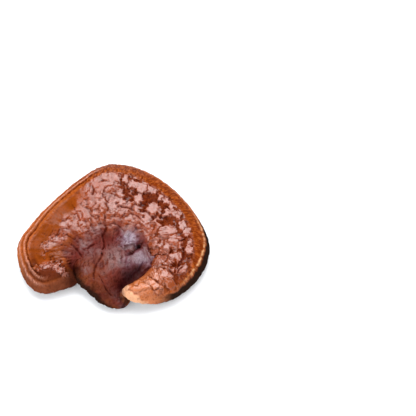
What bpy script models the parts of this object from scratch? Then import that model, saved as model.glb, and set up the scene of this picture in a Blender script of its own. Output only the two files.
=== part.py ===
"""A dried reishi mushroom as picked: a kidney-shaped cap and the short side stem that carries it.

It lies on the flat part of its pore surface, stem towards -Y. Plan places and heights below are
in millimetres over the surface that it lies on, and MM turns them into metres.
"""

import bmesh
import bpy
import numpy as np
from mathutils import Vector, noise

MM = 0.001

# Growth lines of the cap: each ray starts at the stem, passes the middle of the cap and ends at the rim
RAYS = (
    ((-20.9, -21.4), (-19.9, -26.0), (-18.0, -30.9)),
    ((-20.6, -19.9), (-26.0, -25.0), (-26.4, -33.8)),
    ((-19.8, -18.8), (-31.0, -23.5), (-36.5, -36.4)),
    ((-18.4, -18.0), (-34.5, -20.0), (-45.3, -31.2)),
    ((-16.4, -17.4), (-35.5, -14.5), (-51.2, -19.5)),
    ((-14.2, -16.7), (-34.0, -8.5), (-52.5, -7.6)),
    ((-11.8, -16.0), (-30.0, -1.5), (-46.3, 4.0)),
    ((-9.2, -15.2), (-24.0, 5.0), (-36.0, 18.0)),
    ((-6.5, -14.4), (-17.0, 10.5), (-23.5, 31.8)),
    ((-3.7, -13.5), (-8.5, 14.0), (-9.0, 42.3)),
    ((-0.9, -12.6), (1.0, 15.0), (6.0, 43.0)),
    ((1.9, -11.7), (11.5, 13.5), (21.0, 36.4)),
    ((4.7, -10.8), (21.0, 8.8), (35.5, 24.0)),
    ((7.5, -10.0), (27.5, 2.0), (46.2, 9.0)),
    ((10.3, -9.4), (31.5, -5.5), (52.0, -5.0)),
    ((13.0, -9.1), (32.5, -12.2), (51.4, -17.2)),
    ((15.3, -9.4), (31.8, -18.8), (45.0, -29.3)),
    ((17.0, -10.3), (29.0, -24.5), (34.5, -38.6)),
    ((18.0, -11.6), (25.4, -27.0), (22.5, -42.5)),
    ((18.5, -13.2), (21.6, -27.6), (12.0, -42.8)),
    ((18.7, -15.0), (17.1, -26.5), (2.4, -37.6)),
)
LAST_RAY = len(RAYS) - 1

# The lobes' two corners are rounded over this many rays, and this share of their length
CORNER_RAYS = 0.6
CORNER_SHARE = 0.18

# Heights of the cap from the stem out to the shoulder of the rim, at even shares of a ray
TOP_PROFILE = (11.4, 11.6, 12.9, 14.4, 15.4, 15.9, 15.6)
RIM_HEIGHT = 5.6
UNDERSIDE_ROUNDING = 9.0

# Width and roundness of the slope down to the rim, at every second ray from left to right
SLOPE_WIDTHS = (8.5, 11.0, 7.5, 7.5, 10.0, 12.5, 12.5, 12.5, 11.0, 9.0, 6.5)
ROUNDNESSES = (0.8, 0.6, 0.9, 0.9, 0.6, 0.35, 0.3, 0.3, 0.4, 0.7, 0.9)
HUB_STEEPNESS = 0.45

# Folds of the cap's middle: height, how often across the rays and along them, and where in the noise
FOLDS = (
    (0.9, 0.8, 1.3, 3.1),
    (0.75, 1.9, 2.2, 8.7),
    (0.45, 3.4, 9.0, 6.3),
)
FOLDS_FROM = 0.06
FOLDS_TO = 1.12
FOLDS_FADE = 0.34

# Broad growth waves, as ridges along a ray
WAVE_HEIGHT = 0.25
WAVES_ALONG = 3.4
WAVE_WANDER = 0.5

# Swells and hollows of the cap's top: where, how wide and how high
SWELLS = (
    ((-37.5, -9.0), 11.0, -2.9),
    ((-33.0, -24.0), 7.5, 1.3),
    ((-45.0, -24.0), 6.0, 0.9),
    ((-22.0, -19.5), 5.0, -1.6),
    ((33.0, -9.0), 13.0, 0.9),
    ((24.0, -33.0), 9.0, 0.9),
    ((9.0, -37.0), 9.0, -3.0),
    ((7.5, -3.0), 4.5, 1.3),
    ((14.5, -7.5), 5.0, -3.2),
    ((-6.0, 8.0), 9.0, 0.9),
    ((-24.0, 22.0), 9.0, -0.7),
)

# Rings along the left half of the rim: distance in from the edge, half width and height
RINGS = (
    (1.8, 0.7, 0.45),
    (4.3, 1.1, 0.35),
    (7.2, 1.0, -1.25),
)
RINGS_RAYS = (0.4, 8.5)

# Beaded lip along the right of the rim
LIP_RAYS = (12.5, 18.0)
LIP_INSET = 2.2
LIP_HALF_WIDTH = 0.9
LIP_HEIGHT = 0.75
BEADS_PER_RAY = 3.0
BEAD_DEPTH = 0.7

# The right lobe's tip rides up over the side of the stem, its rim and its top by shares of the lift
TIP = (7.0, -38.5)
TIP_LIFT = 8.5
TIP_REACH = 21.0
TIP_RIM_SHARE = 0.75
TIP_TOP_SHARE = 0.5
TIP_FLAT_LIFT = 0.6
TIP_OVER_STEM = -32.0

# Stem: left and right side in plan from below the cap to the end, and the heights of its top and foot
STEM_LEFT = (
    (-19.1, -26.0), (-17.2, -30.2), (-15.2, -32.6), (-12.0, -35.9),
    (-8.4, -39.3), (-4.2, -41.9), (0.6, -43.5), (3.4, -43.9),
)
STEM_RIGHT = (
    (18.9, -19.3), (17.6, -24.4), (14.4, -29.2), (11.9, -33.2),
    (10.4, -37.0), (9.6, -40.2), (7.9, -42.6), (5.6, -43.8),
)
STEM_TOP = (11.2, 12.2, 12.2, 11.6, 10.9, 10.3, 9.6, 8.3, 6.2)
STEM_FOOT = (0.5, 0.5, 0.5, 0.5, 0.5, 0.6, 0.9, 1.8, 3.2)
STEM_SWELLS = (
    ((12.5, -18.0), 5.5, 1.3),
    ((-6.5, -22.0), 3.0, -0.9),
    ((-9.5, -28.5), 2.6, -0.7),
    ((4.0, -31.0), 6.0, -1.0),
    ((-14.0, -26.0), 5.0, 0.6),
)
STEM_CUT_POINT = (-9.0, -39.5, 4.0)
STEM_CUT_NORMAL = (-0.62, -0.55, -0.56)

# How square the stem's section is at its head and further down, and how far the change reaches
STEM_SQUARENESS_HEAD = 5.4
STEM_SQUARENESS = 2.4
STEM_SQUARE_SHARE = 0.4

# Space between the two solids: under the tip, and along the line where the stem's head meets the cap
GAP = 0.45
GAP_REACH = 1.6
HEAD_GAP = 0.55

# Mesh density: rays shorter than so many times the outer rows have those rows squeezed
SHORTEST_RAY = 1.9
COLUMNS_PER_RAY = 5
RIM_ROWS = (0.0, 0.45, 1.1, 1.9, 2.8, 3.8, 5.0, 6.3, 7.8, 9.6, 11.8)
INNER_ROWS = 10
UNDERSIDE_ROWS = (0, 1, 3, 5, 7, 9, 12, 16, 20)
STEM_ROWS = 22
STEM_SIDES = 40


def curve_through(points, where):
    """Points on the smooth curve through points, at fractional indices of any shape."""
    points = np.asarray(points, float)
    points = points.reshape(len(points), -1)
    padded = np.concatenate([2 * points[:1] - points[1:2], points, 2 * points[-1:] - points[-2:-1]])
    where = np.clip(where, 0.0, len(points) - 1.0)
    start = np.minimum(np.floor(where).astype(int), len(points) - 2)
    f = (where - start)[..., None]
    p0, p1, p2, p3 = (padded[start + n] for n in range(4))
    bend = (2 * p0 - 5 * p1 + 4 * p2 - p3) * f**2 + (3 * p1 - p0 - 3 * p2 + p3) * f**3
    return 0.5 * (2 * p1 + (p2 - p0) * f + bend)


def along(values, where):
    """One smooth value at fractional indices of a list of values."""
    return curve_through(values, where)[..., 0]


def rounded_corner(column, share):
    """Bends the grid's two corners at the lobes' tips into round noses."""
    from_end = np.minimum(column, LAST_RAY - column)
    a = np.clip(1 - from_end / CORNER_RAYS, 0.0, 1.0)
    b = np.clip(1 - (1 - share) / CORNER_SHARE, 0.0, 1.0)
    from_end = np.where(a > 0, CORNER_RAYS * (1 - a * np.sqrt(1 - b**2 / 2)), from_end)
    share = np.where(b > 0, 1 - CORNER_SHARE * (1 - b * np.sqrt(1 - a**2 / 2)), share)
    column = np.where(column < LAST_RAY / 2, from_end, LAST_RAY - from_end)
    return column, share


def growth_plan(column, share):
    """Plan place on the cap: column is a fractional ray, share runs from 0 at the stem to 1 at the rim."""
    column, share = rounded_corner(column, share)
    hub, middle, rim = (curve_through([ray[n] for ray in RAYS], column) for n in range(3))
    t = share[..., None]
    return hub * (1 - t) * (1 - 2 * t) + middle * 4 * t * (1 - t) + rim * t * (2 * t - 1)


def free_edge():
    """Points along the whole free edge: left inner side, rim and right inner side."""
    up = np.linspace(0.0, 1.0, 80)
    round_rim = np.linspace(0.0, LAST_RAY, 500)
    left = growth_plan(np.zeros(80), up)
    right = growth_plan(np.full(80, float(LAST_RAY)), up[::-1])
    return np.concatenate([left, growth_plan(round_rim, np.ones(500)), right])


def distance_to(line, plan):
    """Distance from every plan point to a chain of points."""
    start, step = line[:-1], np.diff(line, axis=0)
    length = np.maximum((step**2).sum(1), 1e-9)
    flat = plan.reshape(-1, 1, 2)
    f = np.clip(((flat - start) * step).sum(2) / length, 0.0, 1.0)[:, :, None]
    gap = np.linalg.norm(flat - (start + f * step), axis=2)
    return gap.min(1).reshape(plan.shape[:-1])


def round_shoulder(q):
    """0 to 1 as a quarter circle."""
    u = 1 - np.clip(q, 0.0, 1.0)
    return np.sqrt(np.maximum(0.0, 1 - u**2))


def slope_shoulder(q):
    """0 to 1 as a slope that eases off at its top."""
    return 1 - (1 - np.clip(q, 0.0, 1.0)) ** 1.7


def swell(plan, spots):
    """Sum of soft round swells."""
    total = np.zeros(plan.shape[:-1])
    for centre, radius, height in spots:
        total += height * np.exp(-((plan - np.array(centre)) ** 2).sum(-1) / radius**2)
    return total


def window(value, low, high, soft):
    """1 between low and high, 0 outside, with soft ends."""
    rise = np.clip((value - low) / soft, 0.0, 1.0)
    fall = np.clip((high - value) / soft, 0.0, 1.0)
    return rise * rise * (3 - 2 * rise) * fall * fall * (3 - 2 * fall)


def tip_lift(plan):
    near = np.clip(1 - np.linalg.norm(plan - np.array(TIP), axis=-1) / TIP_REACH, 0.0, 1.0)
    return TIP_LIFT * near**2 * (3 - 2 * near)


def ripple(a, b, seed):
    """Smooth noise from -1 to 1 over two coordinates."""
    a, b = np.broadcast_arrays(a, b)
    pairs = zip(a.ravel(), b.ravel())
    return np.array([noise.noise(Vector((p, q, seed))) for p, q in pairs]).reshape(a.shape)


def rim_height(plan):
    return RIM_HEIGHT + TIP_RIM_SHARE * tip_lift(plan)


def folds(column, share):
    """Radial folds and broad growth waves of the cap's middle."""
    total = sum(high * ripple(column * across, share * out, seed) for high, across, out, seed in FOLDS)
    wander = WAVE_WANDER * ripple(column * 0.4, share, 5.5)
    total += WAVE_HEIGHT * np.sin(2 * np.pi * (WAVES_ALONG * share + wander))
    return total * window(share, FOLDS_FROM, FOLDS_TO, FOLDS_FADE)


def cap_top(plan, column, share, edge):
    """Height of the cap's top: profile, swells and folds, then the slope to the rim with its rings and lip."""
    body = along(TOP_PROFILE, share * (len(TOP_PROFILE) - 1))
    body = body + swell(plan, SWELLS) + folds(column, share) + TIP_TOP_SHARE * tip_lift(plan)
    low = rim_height(plan)
    q = edge / along(SLOPE_WIDTHS, column / 2) / (HUB_STEEPNESS + (1 - HUB_STEEPNESS) * share)
    roundness = np.clip(along(ROUNDNESSES, column / 2), 0.0, 1.0)
    shoulder = roundness * round_shoulder(q) + (1 - roundness) * slope_shoulder(q)
    height = low + (body - low) * shoulder
    ringed = window(column, *RINGS_RAYS, 1.2) * window(share, 0.45, 2.0, 0.2)
    for inset, half_width, step in RINGS:
        height = height + ringed * step * np.exp(-(((edge - inset) / half_width) ** 2))
    beads = 1 + BEAD_DEPTH * ripple(column * BEADS_PER_RAY, 0 * share, 2.2)
    lipped = window(column, *LIP_RAYS, 1.0) * window(share, 0.6, 2.0, 0.2)
    height = height + lipped * beads * LIP_HEIGHT * np.exp(-(((edge - LIP_INSET) / LIP_HALF_WIDTH) ** 2))
    return np.where(edge < 1e-6, low, height)


def cap_underside(plan, column, edge, stem_points):
    """Height of the pore surface: flat inside, round at the rim, and raised over the stem under the tip."""
    flat = np.clip(tip_lift(plan) - TIP_FLAT_LIFT, 0.0, None)
    low = rim_height(plan)
    height = low + (flat - low) * round_shoulder(edge / UNDERSIDE_ROUNDING)
    crossed = stem_points[stem_points[:, 1] < TIP_OVER_STEM]
    over = np.where(column > LAST_RAY / 2, clear_of(crossed, plan), 0.0)
    return np.maximum(height, over)


def clear_of(points, plan):
    """Height that clears the points near each plan place, or 0 where none is near."""
    flat = plan.reshape(-1, 2)
    near = np.linalg.norm(flat[:, None] - points[None, :, :2], axis=2) < GAP_REACH
    return np.where(near, points[None, :, 2] + GAP, 0.0).max(1).reshape(plan.shape[:-1])


def cap_rows(column):
    """Shares along each ray: rows at set distances from the rim, then even rows to the stem."""
    ends = np.stack([growth_plan(column, np.full(len(column), s)) for s in (0.0, 0.5, 1.0)], axis=1)
    length = np.linalg.norm(np.diff(ends, axis=1), axis=2).sum(1)[:, None]
    squeeze = np.minimum(1.0, length / (SHORTEST_RAY * RIM_ROWS[-1]))
    outer = 1 - np.array(RIM_ROWS)[None, :] * squeeze / length
    inner = outer[:, -1:] * np.linspace(1.0, 0.0, INNER_ROWS + 1)[None, 1:]
    return np.concatenate([outer, inner], axis=1)


def add_face(mesh, corners, flip):
    corners = list(dict.fromkeys(corners))
    if len(corners) > 2:
        mesh.faces.new(corners[::-1] if flip else corners)


def make_cap(stem_points):
    """The cap: a top and an underside that share their free edge, and a wall where the stem joins."""
    column = np.linspace(0.0, LAST_RAY, LAST_RAY * COLUMNS_PER_RAY + 1)
    share = cap_rows(column)
    columns = np.repeat(column[:, None], share.shape[1], axis=1)
    plan = growth_plan(columns, share)
    edge = distance_to(free_edge(), plan)
    edge[0] = edge[-1] = edge[:, 0] = 0.0
    high = cap_top(plan, columns, share, edge)
    low = cap_underside(plan, columns, edge, stem_points)
    mesh = bmesh.new()
    top = [[mesh.verts.new((*p * MM, z * MM)) for p, z in zip(*line)] for line in zip(plan, high)]
    under = [list(line) for line in top]
    for n in range(1, len(column) - 1):
        for row in UNDERSIDE_ROWS[1:]:
            under[n][row] = mesh.verts.new((*plan[n, row] * MM, low[n, row] * MM))
    for n in range(len(column) - 1):
        for row in range(share.shape[1] - 1):
            here, there = top[n], top[n + 1]
            add_face(mesh, (here[row], here[row + 1], there[row + 1], there[row]), flip=False)
        for a, b in zip(UNDERSIDE_ROWS[:-1], UNDERSIDE_ROWS[1:]):
            near = under[n][a:b + 1] if n == 0 else [under[n][a], under[n][b]]
            far = under[n + 1][a:b + 1] if n + 2 == len(column) else [under[n + 1][a], under[n + 1][b]]
            add_face(mesh, near + far[::-1], flip=True)
        add_face(mesh, (top[n][-1], under[n][-1], under[n + 1][-1], top[n + 1][-1]), flip=False)
    return mesh


def stem_head():
    """The hub line that the cap's rays start from, set back into the stem by the gap."""
    line = curve_through([ray[0] for ray in RAYS], np.linspace(0.0, LAST_RAY, 161))
    run = np.gradient(line, axis=0)
    run /= np.linalg.norm(run, axis=1, keepdims=True)
    return line + np.column_stack([run[:, 1], -run[:, 0]]) * HEAD_GAP


def stem_grid():
    """Points of the stem's closed loops, from the cap to the round end, in millimetres."""
    head = stem_head()
    where = np.linspace(0.0, len(STEM_LEFT), STEM_ROWS)
    left = curve_through([head[0], *STEM_LEFT], where)
    right = curve_through([head[-1], *STEM_RIGHT], where)
    top, foot = along(STEM_TOP, where), along(STEM_FOOT, where)
    share = where / where[-1]
    squarer = np.clip(1 - share / STEM_SQUARE_SHARE, 0.0, 1.0)
    power = STEM_SQUARENESS + (STEM_SQUARENESS_HEAD - STEM_SQUARENESS) * squarer
    angle = np.linspace(0.0, 2 * np.pi, STEM_SIDES, endpoint=False)
    loops = []
    for n in range(STEM_ROWS):
        across = np.sign(np.cos(angle)) * np.abs(np.cos(angle)) ** (2 / power[n])
        upward = np.sign(np.sin(angle)) * np.abs(np.sin(angle)) ** (2 / power[n])
        chord = (left[n] + right[n]) / 2 + across[:, None] * (right[n] - left[n]) / 2
        bow = curve_through(head, (across + 1) / 2 * (len(head) - 1))
        bow = bow - (head[0] + head[-1]) / 2 - across[:, None] * (head[-1] - head[0]) / 2
        plan = chord + bow * (1 - share[n]) ** 4
        height = (top[n] + foot[n]) / 2 + upward * (top[n] - foot[n]) / 2
        rise = swell(plan, STEM_SWELLS) * np.clip(upward, 0.0, 1.0)
        loops.append(np.column_stack([plan, height + rise]))
    return np.array(loops)


def make_stem(loops):
    """The stem: its closed loops skinned, and cut off flat where it was broken from the wood."""
    mesh = bmesh.new()
    rings = [[mesh.verts.new(point * MM) for point in loop] for loop in loops]
    for near, far in zip(rings[:-1], rings[1:]):
        for k in range(STEM_SIDES):
            m = (k + 1) % STEM_SIDES
            mesh.faces.new((near[k], near[m], far[m], far[k]))
    mesh.faces.new(rings[0][::-1])
    mesh.faces.new(rings[-1])
    whole = mesh.verts[:] + mesh.edges[:] + mesh.faces[:]
    point = Vector(STEM_CUT_POINT) * MM
    normal = Vector(STEM_CUT_NORMAL).normalized()
    cut = bmesh.ops.bisect_plane(mesh, geom=whole, plane_co=point, plane_no=normal, clear_outer=True)
    rim = [part for part in cut["geom_cut"] if isinstance(part, bmesh.types.BMEdge)]
    bmesh.ops.contextual_create(mesh, geom=rim)
    return mesh


def material(name, colour, roughness, coat):
    made = bpy.data.materials.new(name)
    made.use_nodes = True
    shader = made.node_tree.nodes["Principled BSDF"]
    shader.inputs["Base Color"].default_value = (*colour, 1.0)
    shader.inputs["Roughness"].default_value = roughness
    shader.inputs["Metallic"].default_value = 0.0
    shader.inputs["Coat Weight"].default_value = coat
    return made


def place(name, mesh, finish):
    """Makes one named, smooth-shaded object from a mesh."""
    bmesh.ops.recalc_face_normals(mesh, faces=mesh.faces)
    bmesh.ops.triangulate(mesh, faces=mesh.faces)
    data = bpy.data.meshes.new(name)
    mesh.to_mesh(data)
    mesh.free()
    data.materials.append(finish)
    data.shade_smooth()
    data.set_sharp_from_angle(angle=np.radians(50.0))
    made = bpy.data.objects.new(name, data)
    bpy.context.scene.collection.objects.link(made)
    return made


def stand_on_origin(pieces):
    """Moves the pieces so that the middle of their footprint is at the origin and they rest on z = 0."""
    points = np.array([v.co for piece in pieces for v in piece.data.vertices])
    low, high = points.min(0), points.max(0)
    shift = Vector((-(low[0] + high[0]) / 2, -(low[1] + high[1]) / 2, -low[2]))
    for piece in pieces:
        for vertex in piece.data.vertices:
            vertex.co += shift


def main():
    for old in list(bpy.data.objects):
        bpy.data.objects.remove(old)
    lacquer = material("lacquered_cap", (0.30, 0.085, 0.022), 0.32, 0.7)
    bark = material("stem_skin", (0.12, 0.045, 0.022), 0.55, 0.15)
    loops = stem_grid()
    cap = place("cap", make_cap(loops.reshape(-1, 3)), lacquer)
    stem = place("stem", make_stem(loops), bark)
    stand_on_origin([cap, stem])


main()
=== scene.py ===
"""A dried reishi mushroom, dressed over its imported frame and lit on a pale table.

The skin is grown in millimetres on the same growth lines as the solids, wrinkled and cracked by a
Geometry Nodes tree, and then parted along the hub into one piece for the cap and one for the stem.
"""

import math

import bmesh
import bpy
import numpy as np
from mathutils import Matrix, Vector, kdtree, noise


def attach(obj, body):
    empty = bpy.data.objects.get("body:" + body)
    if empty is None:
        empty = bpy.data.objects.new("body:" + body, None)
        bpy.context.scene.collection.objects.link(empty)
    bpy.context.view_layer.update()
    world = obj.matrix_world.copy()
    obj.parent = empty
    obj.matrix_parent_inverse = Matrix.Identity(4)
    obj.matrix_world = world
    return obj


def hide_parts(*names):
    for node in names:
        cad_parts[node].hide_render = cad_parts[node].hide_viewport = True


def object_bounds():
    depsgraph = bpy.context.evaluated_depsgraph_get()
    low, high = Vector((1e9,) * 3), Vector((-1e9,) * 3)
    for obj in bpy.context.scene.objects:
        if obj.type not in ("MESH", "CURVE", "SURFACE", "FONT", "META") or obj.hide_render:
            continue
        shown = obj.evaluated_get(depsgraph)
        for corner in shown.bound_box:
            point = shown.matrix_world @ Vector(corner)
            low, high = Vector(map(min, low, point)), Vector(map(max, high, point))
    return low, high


bl_info = {
    "name": "Reishi Mushroom",
    "version": (1, 0, 0),
    "blender": (4, 5, 0),
    "location": "3D View > Sidebar > Reishi",
    "description": "Grows the lacquered cap and the side stem of a dried reishi mushroom and lights them",
    "category": "Add Mesh",
}

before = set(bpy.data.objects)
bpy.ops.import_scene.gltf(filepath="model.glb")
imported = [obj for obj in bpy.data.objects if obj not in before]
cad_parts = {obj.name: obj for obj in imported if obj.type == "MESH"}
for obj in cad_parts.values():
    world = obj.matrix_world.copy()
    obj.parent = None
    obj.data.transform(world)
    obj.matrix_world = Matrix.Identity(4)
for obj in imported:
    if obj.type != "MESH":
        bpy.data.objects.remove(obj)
FRAME_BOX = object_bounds()

MM = 0.001

# Growth lines of the cap, as in the solids: stem end, middle and rim end of each ray, in millimetres
RAYS = (
    ((-20.9, -21.4), (-19.9, -26.0), (-18.0, -30.9)),
    ((-20.6, -19.9), (-26.0, -25.0), (-26.4, -33.8)),
    ((-19.8, -18.8), (-31.0, -23.5), (-36.5, -36.4)),
    ((-18.4, -18.0), (-34.5, -20.0), (-45.3, -31.2)),
    ((-16.4, -17.4), (-35.5, -14.5), (-51.2, -19.5)),
    ((-14.2, -16.7), (-34.0, -8.5), (-52.5, -7.6)),
    ((-11.8, -16.0), (-30.0, -1.5), (-46.3, 4.0)),
    ((-9.2, -15.2), (-24.0, 5.0), (-36.0, 18.0)),
    ((-6.5, -14.4), (-17.0, 10.5), (-23.5, 31.8)),
    ((-3.7, -13.5), (-8.5, 14.0), (-9.0, 42.3)),
    ((-0.9, -12.6), (1.0, 15.0), (6.0, 43.0)),
    ((1.9, -11.7), (11.5, 13.5), (21.0, 36.4)),
    ((4.7, -10.8), (21.0, 8.8), (35.5, 24.0)),
    ((7.5, -10.0), (27.5, 2.0), (46.2, 9.0)),
    ((10.3, -9.4), (31.5, -5.5), (52.0, -5.0)),
    ((13.0, -9.1), (32.5, -12.2), (51.4, -17.2)),
    ((15.3, -9.4), (31.8, -18.8), (45.0, -29.3)),
    ((17.0, -10.3), (29.0, -24.5), (34.5, -38.6)),
    ((18.0, -11.6), (25.4, -27.0), (22.5, -42.5)),
    ((18.5, -13.2), (21.6, -27.6), (12.0, -42.8)),
    ((18.7, -15.0), (17.1, -26.5), (2.4, -37.6)),
)
LAST_RAY = len(RAYS) - 1
CORNER_RAYS = 0.6
CORNER_SHARE = 0.18

# Heights of the cap from the stem out to the shoulder of the rim, and the slope down to the rim
TOP_PROFILE = (11.4, 11.6, 12.9, 14.4, 15.4, 15.9, 15.6)
RIM_HEIGHT = 5.6
UNDERSIDE_ROUNDING = 9.0
SLOPE_WIDTHS = (8.5, 11.0, 7.5, 7.5, 10.0, 12.5, 12.5, 12.5, 11.0, 9.0, 6.5)
ROUNDNESSES = (0.8, 0.6, 0.9, 0.9, 0.6, 0.35, 0.3, 0.3, 0.4, 0.7, 0.9)
HUB_STEEPNESS = 0.45

# Folds of the cap's middle: height, how often across the rays and along them, and where in the noise
FOLDS = (
    (0.7, 0.8, 1.3, 3.1),
    (0.5, 1.9, 2.2, 8.7),
    (0.25, 3.4, 9.0, 6.3),
)
FOLDS_FROM = 0.06
FOLDS_TO = 1.12
FOLDS_FADE = 0.34
WAVE_HEIGHT = 0.25
WAVES_ALONG = 3.4
WAVE_WANDER = 0.5

# Swells and hollows of the top, the cap's and then the stem's: where, how wide and how high
SWELLS = (
    ((-37.5, -9.0), 11.0, -2.9),
    ((-33.0, -24.0), 7.5, 1.3),
    ((-45.0, -24.0), 6.0, 0.9),
    ((-22.0, -19.5), 5.0, -1.6),
    ((33.0, -9.0), 13.0, 0.9),
    ((24.0, -33.0), 9.0, 0.9),
    ((9.0, -37.0), 9.0, -3.0),
    ((8.0, -4.8), 4.6, 1.1),
    ((13.8, -9.4), 2.8, -1.2),
    ((-6.0, 8.0), 9.0, 0.9),
    ((-24.0, 22.0), 9.0, -0.7),
    ((12.5, -18.0), 5.5, 1.3),
    ((-6.5, -22.0), 3.0, -0.9),
    ((-9.5, -28.5), 2.6, -0.7),
    ((4.0, -31.0), 6.0, -1.0),
    ((-14.0, -26.0), 5.0, 0.6),
)

# Rings along the left half of the rim: distance in from the edge, half width and height
RINGS = (
    (2.5, 0.65, 0.6),
    (5.2, 0.7, 0.8),
    (6.4, 0.35, -0.2),
)
RING_WOBBLE = 0.4
RINGS_RAYS = (1.6, 9.6)

# Beaded lip along the right of the rim
LIP_RAYS = (12.5, 16.9)
LIP_INSETS = (1.8, 2.2, 2.8, 3.3, 3.1, 2.5)
LIP_HALF_WIDTH = 0.7
LIP_HEIGHT = 0.75
BEADS_PER_RAY = 3.0
BEAD_DEPTH = 0.7

# The right lobe's tip rides up over the side of the stem
TIP = (7.0, -38.5)
TIP_LIFT = 8.5
TIP_REACH = 21.0
TIP_RIM_SHARE = 0.75
TIP_TOP_SHARE = 0.5
TIP_FLAT_LIFT = 0.6

# Stem: left and right side in plan from below the cap to the end, and the heights of its top and foot
STEM_LEFT = (
    (-20.4, -25.8), (-18.9, -30.0), (-15.6, -32.9), (-12.0, -35.9),
    (-8.4, -39.3), (-4.2, -41.9), (0.6, -43.5), (3.4, -43.9),
)
STEM_RIGHT = (
    (20.6, -19.6), (19.2, -25.0), (15.9, -30.0), (12.8, -34.2),
    (10.6, -37.8), (9.6, -40.2), (7.9, -42.6), (5.6, -43.8),
)
STEM_TOP = (11.4, 12.2, 12.2, 11.6, 10.9, 10.3, 9.6, 8.3, 6.2)
STEM_FOOT = (0.2, 0.5, 0.5, 0.5, 0.5, 0.6, 0.9, 1.8, 3.2)
STEM_SQUARENESS = 2.4
HUB_BLEND = 0.3

# Plane that cuts the stem off, and the distances from it over which the skin turns ragged, in millimetres
STEM_CUT_POINT = (-9.0, -39.5, 4.0)
STEM_CUT_NORMAL = (-0.62, -0.55, -0.56)
TORN_FROM = -5.5
TORN_TO = -2.5
TORN_WANDER = 2.2

# Density of the skin: columns round the rim, thinned twice towards the stem, and rows
COLUMNS = 720
RIM_ROWS = np.arange(0.0, 12.0, 0.26)
INNER_ROWS = 104
SHORTEST_RAY = 1.9
THINNED_FROM = (70, 112)
UNDERSIDE_STEP = 4
STEM_ROWS = 74

# Points on the lines from which distances are measured
SIDE_STEPS = 60
RIM_STEPS = 260
HUB_STEPS = 120

# Faces of the skin by the place they belong to
CAP_TOP, CAP_UNDERSIDE, STEM = range(3)

# Cracks that stand out: depth, half width and points in plan, in millimetres
CRACKS = (
    (0.8, 0.4, ((-4.3, 0.4), (-5.3, -2.9), (-6.1, -5.3), (-4.9, -9.5), (-6.0, -14.0))),
    (0.6, 0.45, ((-6.1, -13.5), (-5.9, -16.5), (-7.5, -19.7), (-8.8, -22.9), (-9.5, -26.0), (-9.5, -29.8))),
    (0.4, 0.35, ((-7.7, -27.1), (-5.9, -29.6), (-4.0, -33.1), (-2.7, -35.3), (-0.9, -37.5), (0.9, -39.4))),
    (0.6, 0.45, ((-16.0, -13.1), (-13.5, -11.8), (-12.0, -10.5), (-9.1, -9.0))),
    (0.7, 0.4, ((-22.7, -9.5), (-19.8, -12.4), (-17.9, -15.3), (-16.6, -16.9))),
    (1.6, 0.7, ((15.2, -8.4), (13.6, -11.2), (11.2, -13.9), (8.4, -16.4))),
    (0.5, 0.3, ((-3.6, 28.2), (-4.1, 27.0), (-6.5, 27.6), (-9.6, 26.7))),
    (0.6, 0.35, ((-3.9, 24.2), (-5.7, 23.0), (-6.4, 20.0), (-7.0, 17.6), (-9.0, 15.3))),
    (0.4, 0.35, ((-13.0, 24.9), (-12.0, 21.8), (-12.5, 18.4))),
    (0.4, 0.3, ((-1.8, 19.7), (-3.3, 17.3), (-3.8, 14.9), (-4.4, 13.1), (-3.9, 11.0))),
    (0.8, 0.4, ((-5.3, 7.7), (-4.9, 5.6), (-5.3, 2.6), (-4.2, -0.3), (-4.8, -3.2))),
    (0.7, 0.35, ((0.9, 10.0), (2.1, 12.2), (4.8, 11.8), (7.4, 11.5), (10.7, 10.0))),
    (0.5, 0.3, ((1.8, 8.0), (-0.8, 6.5), (-2.0, 5.6))),
    (0.6, 0.35, ((6.4, 9.8), (5.0, 6.5), (3.2, 4.7))),
    (0.5, 0.3, ((9.4, 8.5), (12.6, 6.8), (14.5, 4.3))),
    (0.5, 0.35, ((-3.7, 0.9), (-0.6, 2.6), (2.5, 1.2), (5.1, -1.5))),
    (0.35, 0.25, ((26.9, -5.9), (30.3, -5.2), (33.2, -4.5))),
    (0.7, 0.35, ((19.5, -18.2), (20.6, -17.3), (22.2, -16.8), (23.9, -16.0), (26.5, -16.8), (29.6, -16.6))),
    (0.6, 0.4, ((31.0, -11.7), (31.4, -15.3), (30.5, -17.1), (29.7, -18.9), (28.5, -20.2))),
    (0.7, 0.4, ((32.1, -21.6), (33.4, -23.0), (34.2, -24.1), (34.0, -26.8))),
    (0.8, 0.5, ((29.8, -26.5), (31.8, -28.0), (33.4, -29.4), (34.5, -26.1))),
    (0.5, 0.3, ((22.7, -24.5), (26.1, -25.3), (28.8, -25.6), (31.6, -26.8))),
    (0.9, 0.6, ((37.3, -13.0), (38.3, -15.9), (38.0, -19.6), (36.5, -22.4), (35.7, -25.5))),
    (0.7, 0.5, ((34.9, -8.7), (36.3, -9.6), (38.2, -9.1), (39.8, -7.8))),
    (0.5, 0.3, ((25.0, -21.2), (27.7, -23.2), (30.6, -23.8))),
    (0.6, 0.35, ((34.7, -29.9), (36.3, -26.5), (38.9, -24.1))),
    (0.4, 0.25, ((20.7, -23.1), (23.5, -23.4), (26.1, -24.4))),
    (0.8, 0.4, ((19.9, -30.6), (22.0, -31.9), (24.1, -33.2), (25.8, -34.6), (27.6, -35.5))),
    (0.5, 0.3, ((20.6, -34.8), (22.6, -38.2), (24.7, -37.1), (26.8, -35.5))),
    (0.5, 0.35, ((29.1, -22.5), (32.3, -23.6), (35.4, -26.0))),
    (0.4, 0.3, ((26.8, -30.8), (29.4, -33.5))),
    (0.35, 0.4, ((-23.3, 13.0), (-20.8, 8.7), (-18.2, 2.5))),
    (0.4, 0.35, ((-27.6, -3.6), (-23.1, -6.0), (-19.2, -8.4))),
)

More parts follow.
